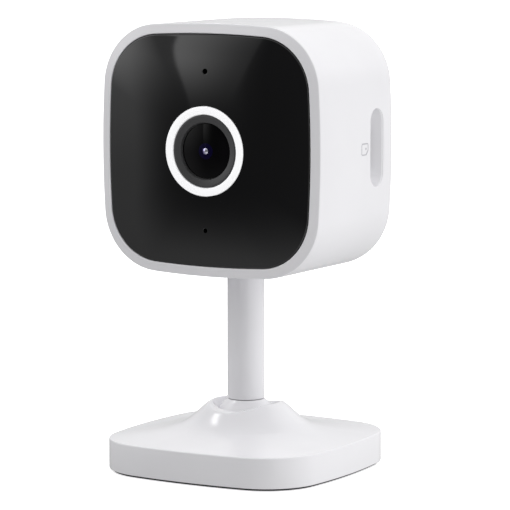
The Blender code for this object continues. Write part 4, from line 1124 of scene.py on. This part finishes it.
def make_lights():
    """A soft studio: bright to the right and above, dim in front, with soft panels left and behind."""
    world = bpy.data.worlds.new("studio")
    bpy.context.scene.world = world
    world.use_nodes = True
    nodes, links = world.node_tree.nodes, world.node_tree.links
    coordinates = nodes.new("ShaderNodeTexCoord")
    direction = nodes.new("ShaderNodeSeparateXYZ")
    links.new(coordinates.outputs["Generated"], direction.inputs["Vector"])
    across = add_math(nodes, links, "MULTIPLY", direction.outputs["X"], -1.0)
    along = add_math(nodes, links, "MULTIPLY", direction.outputs["Y"], -1.0)
    elevation = add_math(nodes, links, "ARCSINE", direction.outputs["Z"])
    upright = add_math(nodes, links, "ARCTAN2", across, along)
    azimuth = add_math(nodes, links, "MULTIPLY_ADD", elevation, PANEL_LEAN, upright)
    slope = nodes.new("ShaderNodeVectorMath")
    slope.operation = "DOT_PRODUCT"
    slope.inputs[1].default_value = STUDIO_SLOPE
    links.new(coordinates.outputs["Generated"], slope.inputs[0])
    level = add_math(nodes, links, "ADD", slope.outputs["Value"], STUDIO_LEVEL)
    dim = add_panel(nodes, links, azimuth, elevation, *DIM_FRONT)
    level = add_math(nodes, links, "MULTIPLY_ADD", level, dim, level)
    for panel in (LEFT_PANEL, FRONT_PANEL, HIGH_PANEL):
        level = add_math(nodes, links, "ADD", level, add_panel(nodes, links, azimuth, elevation, *panel))
    aside = add_math(nodes, links, "ABSOLUTE", upright)
    level = add_math(nodes, links, "ADD", level, add_panel(nodes, links, aside, elevation, *BACK_PANEL))
    background = nodes["Background"]
    background.inputs["Color"].default_value = (1.0, 1.0, 1.0, 1.0)
    links.new(level, background.inputs["Strength"])


CAMERA_PLACE = (0.365683, -0.619322, 0.139908)
CAMERA_AZIMUTH = math.radians(30.385)       # rightwards from the front
CAMERA_ELEVATION = math.radians(7.012)
CAMERA_LENS = 211.76                        # in millimetres, on a sensor 36 mm wide


def make_camera():
    """A long lens from the front right, a little above."""
    azimuth, elevation = CAMERA_AZIMUTH, CAMERA_ELEVATION
    data = bpy.data.cameras.new("camera")
    data.sensor_width = 36.0
    data.lens = CAMERA_LENS
    data.clip_start = 0.01
    camera = bpy.data.objects.new("camera", data)
    bpy.context.scene.collection.objects.link(camera)
    camera.location = CAMERA_PLACE
    back = Vector((math.sin(azimuth) * math.cos(elevation), -math.cos(azimuth) * math.cos(elevation),
                   math.sin(elevation)))
    camera.rotation_euler = back.to_track_quat("Z", "Y").to_euler()
    bpy.context.scene.camera = camera
    bpy.context.scene.view_settings.view_transform = "Standard"


finish_inner_nodes()
make_head_shell()
make_card_mark()
make_front_window()
make_lens_rings()
make_lens()
make_rear_cover()
make_power_port()
make_setup_button()
make_card()
make_stem()
make_ball()
make_base_shell()
make_rubber_pad()
make_floor()
make_lights()
make_camera()
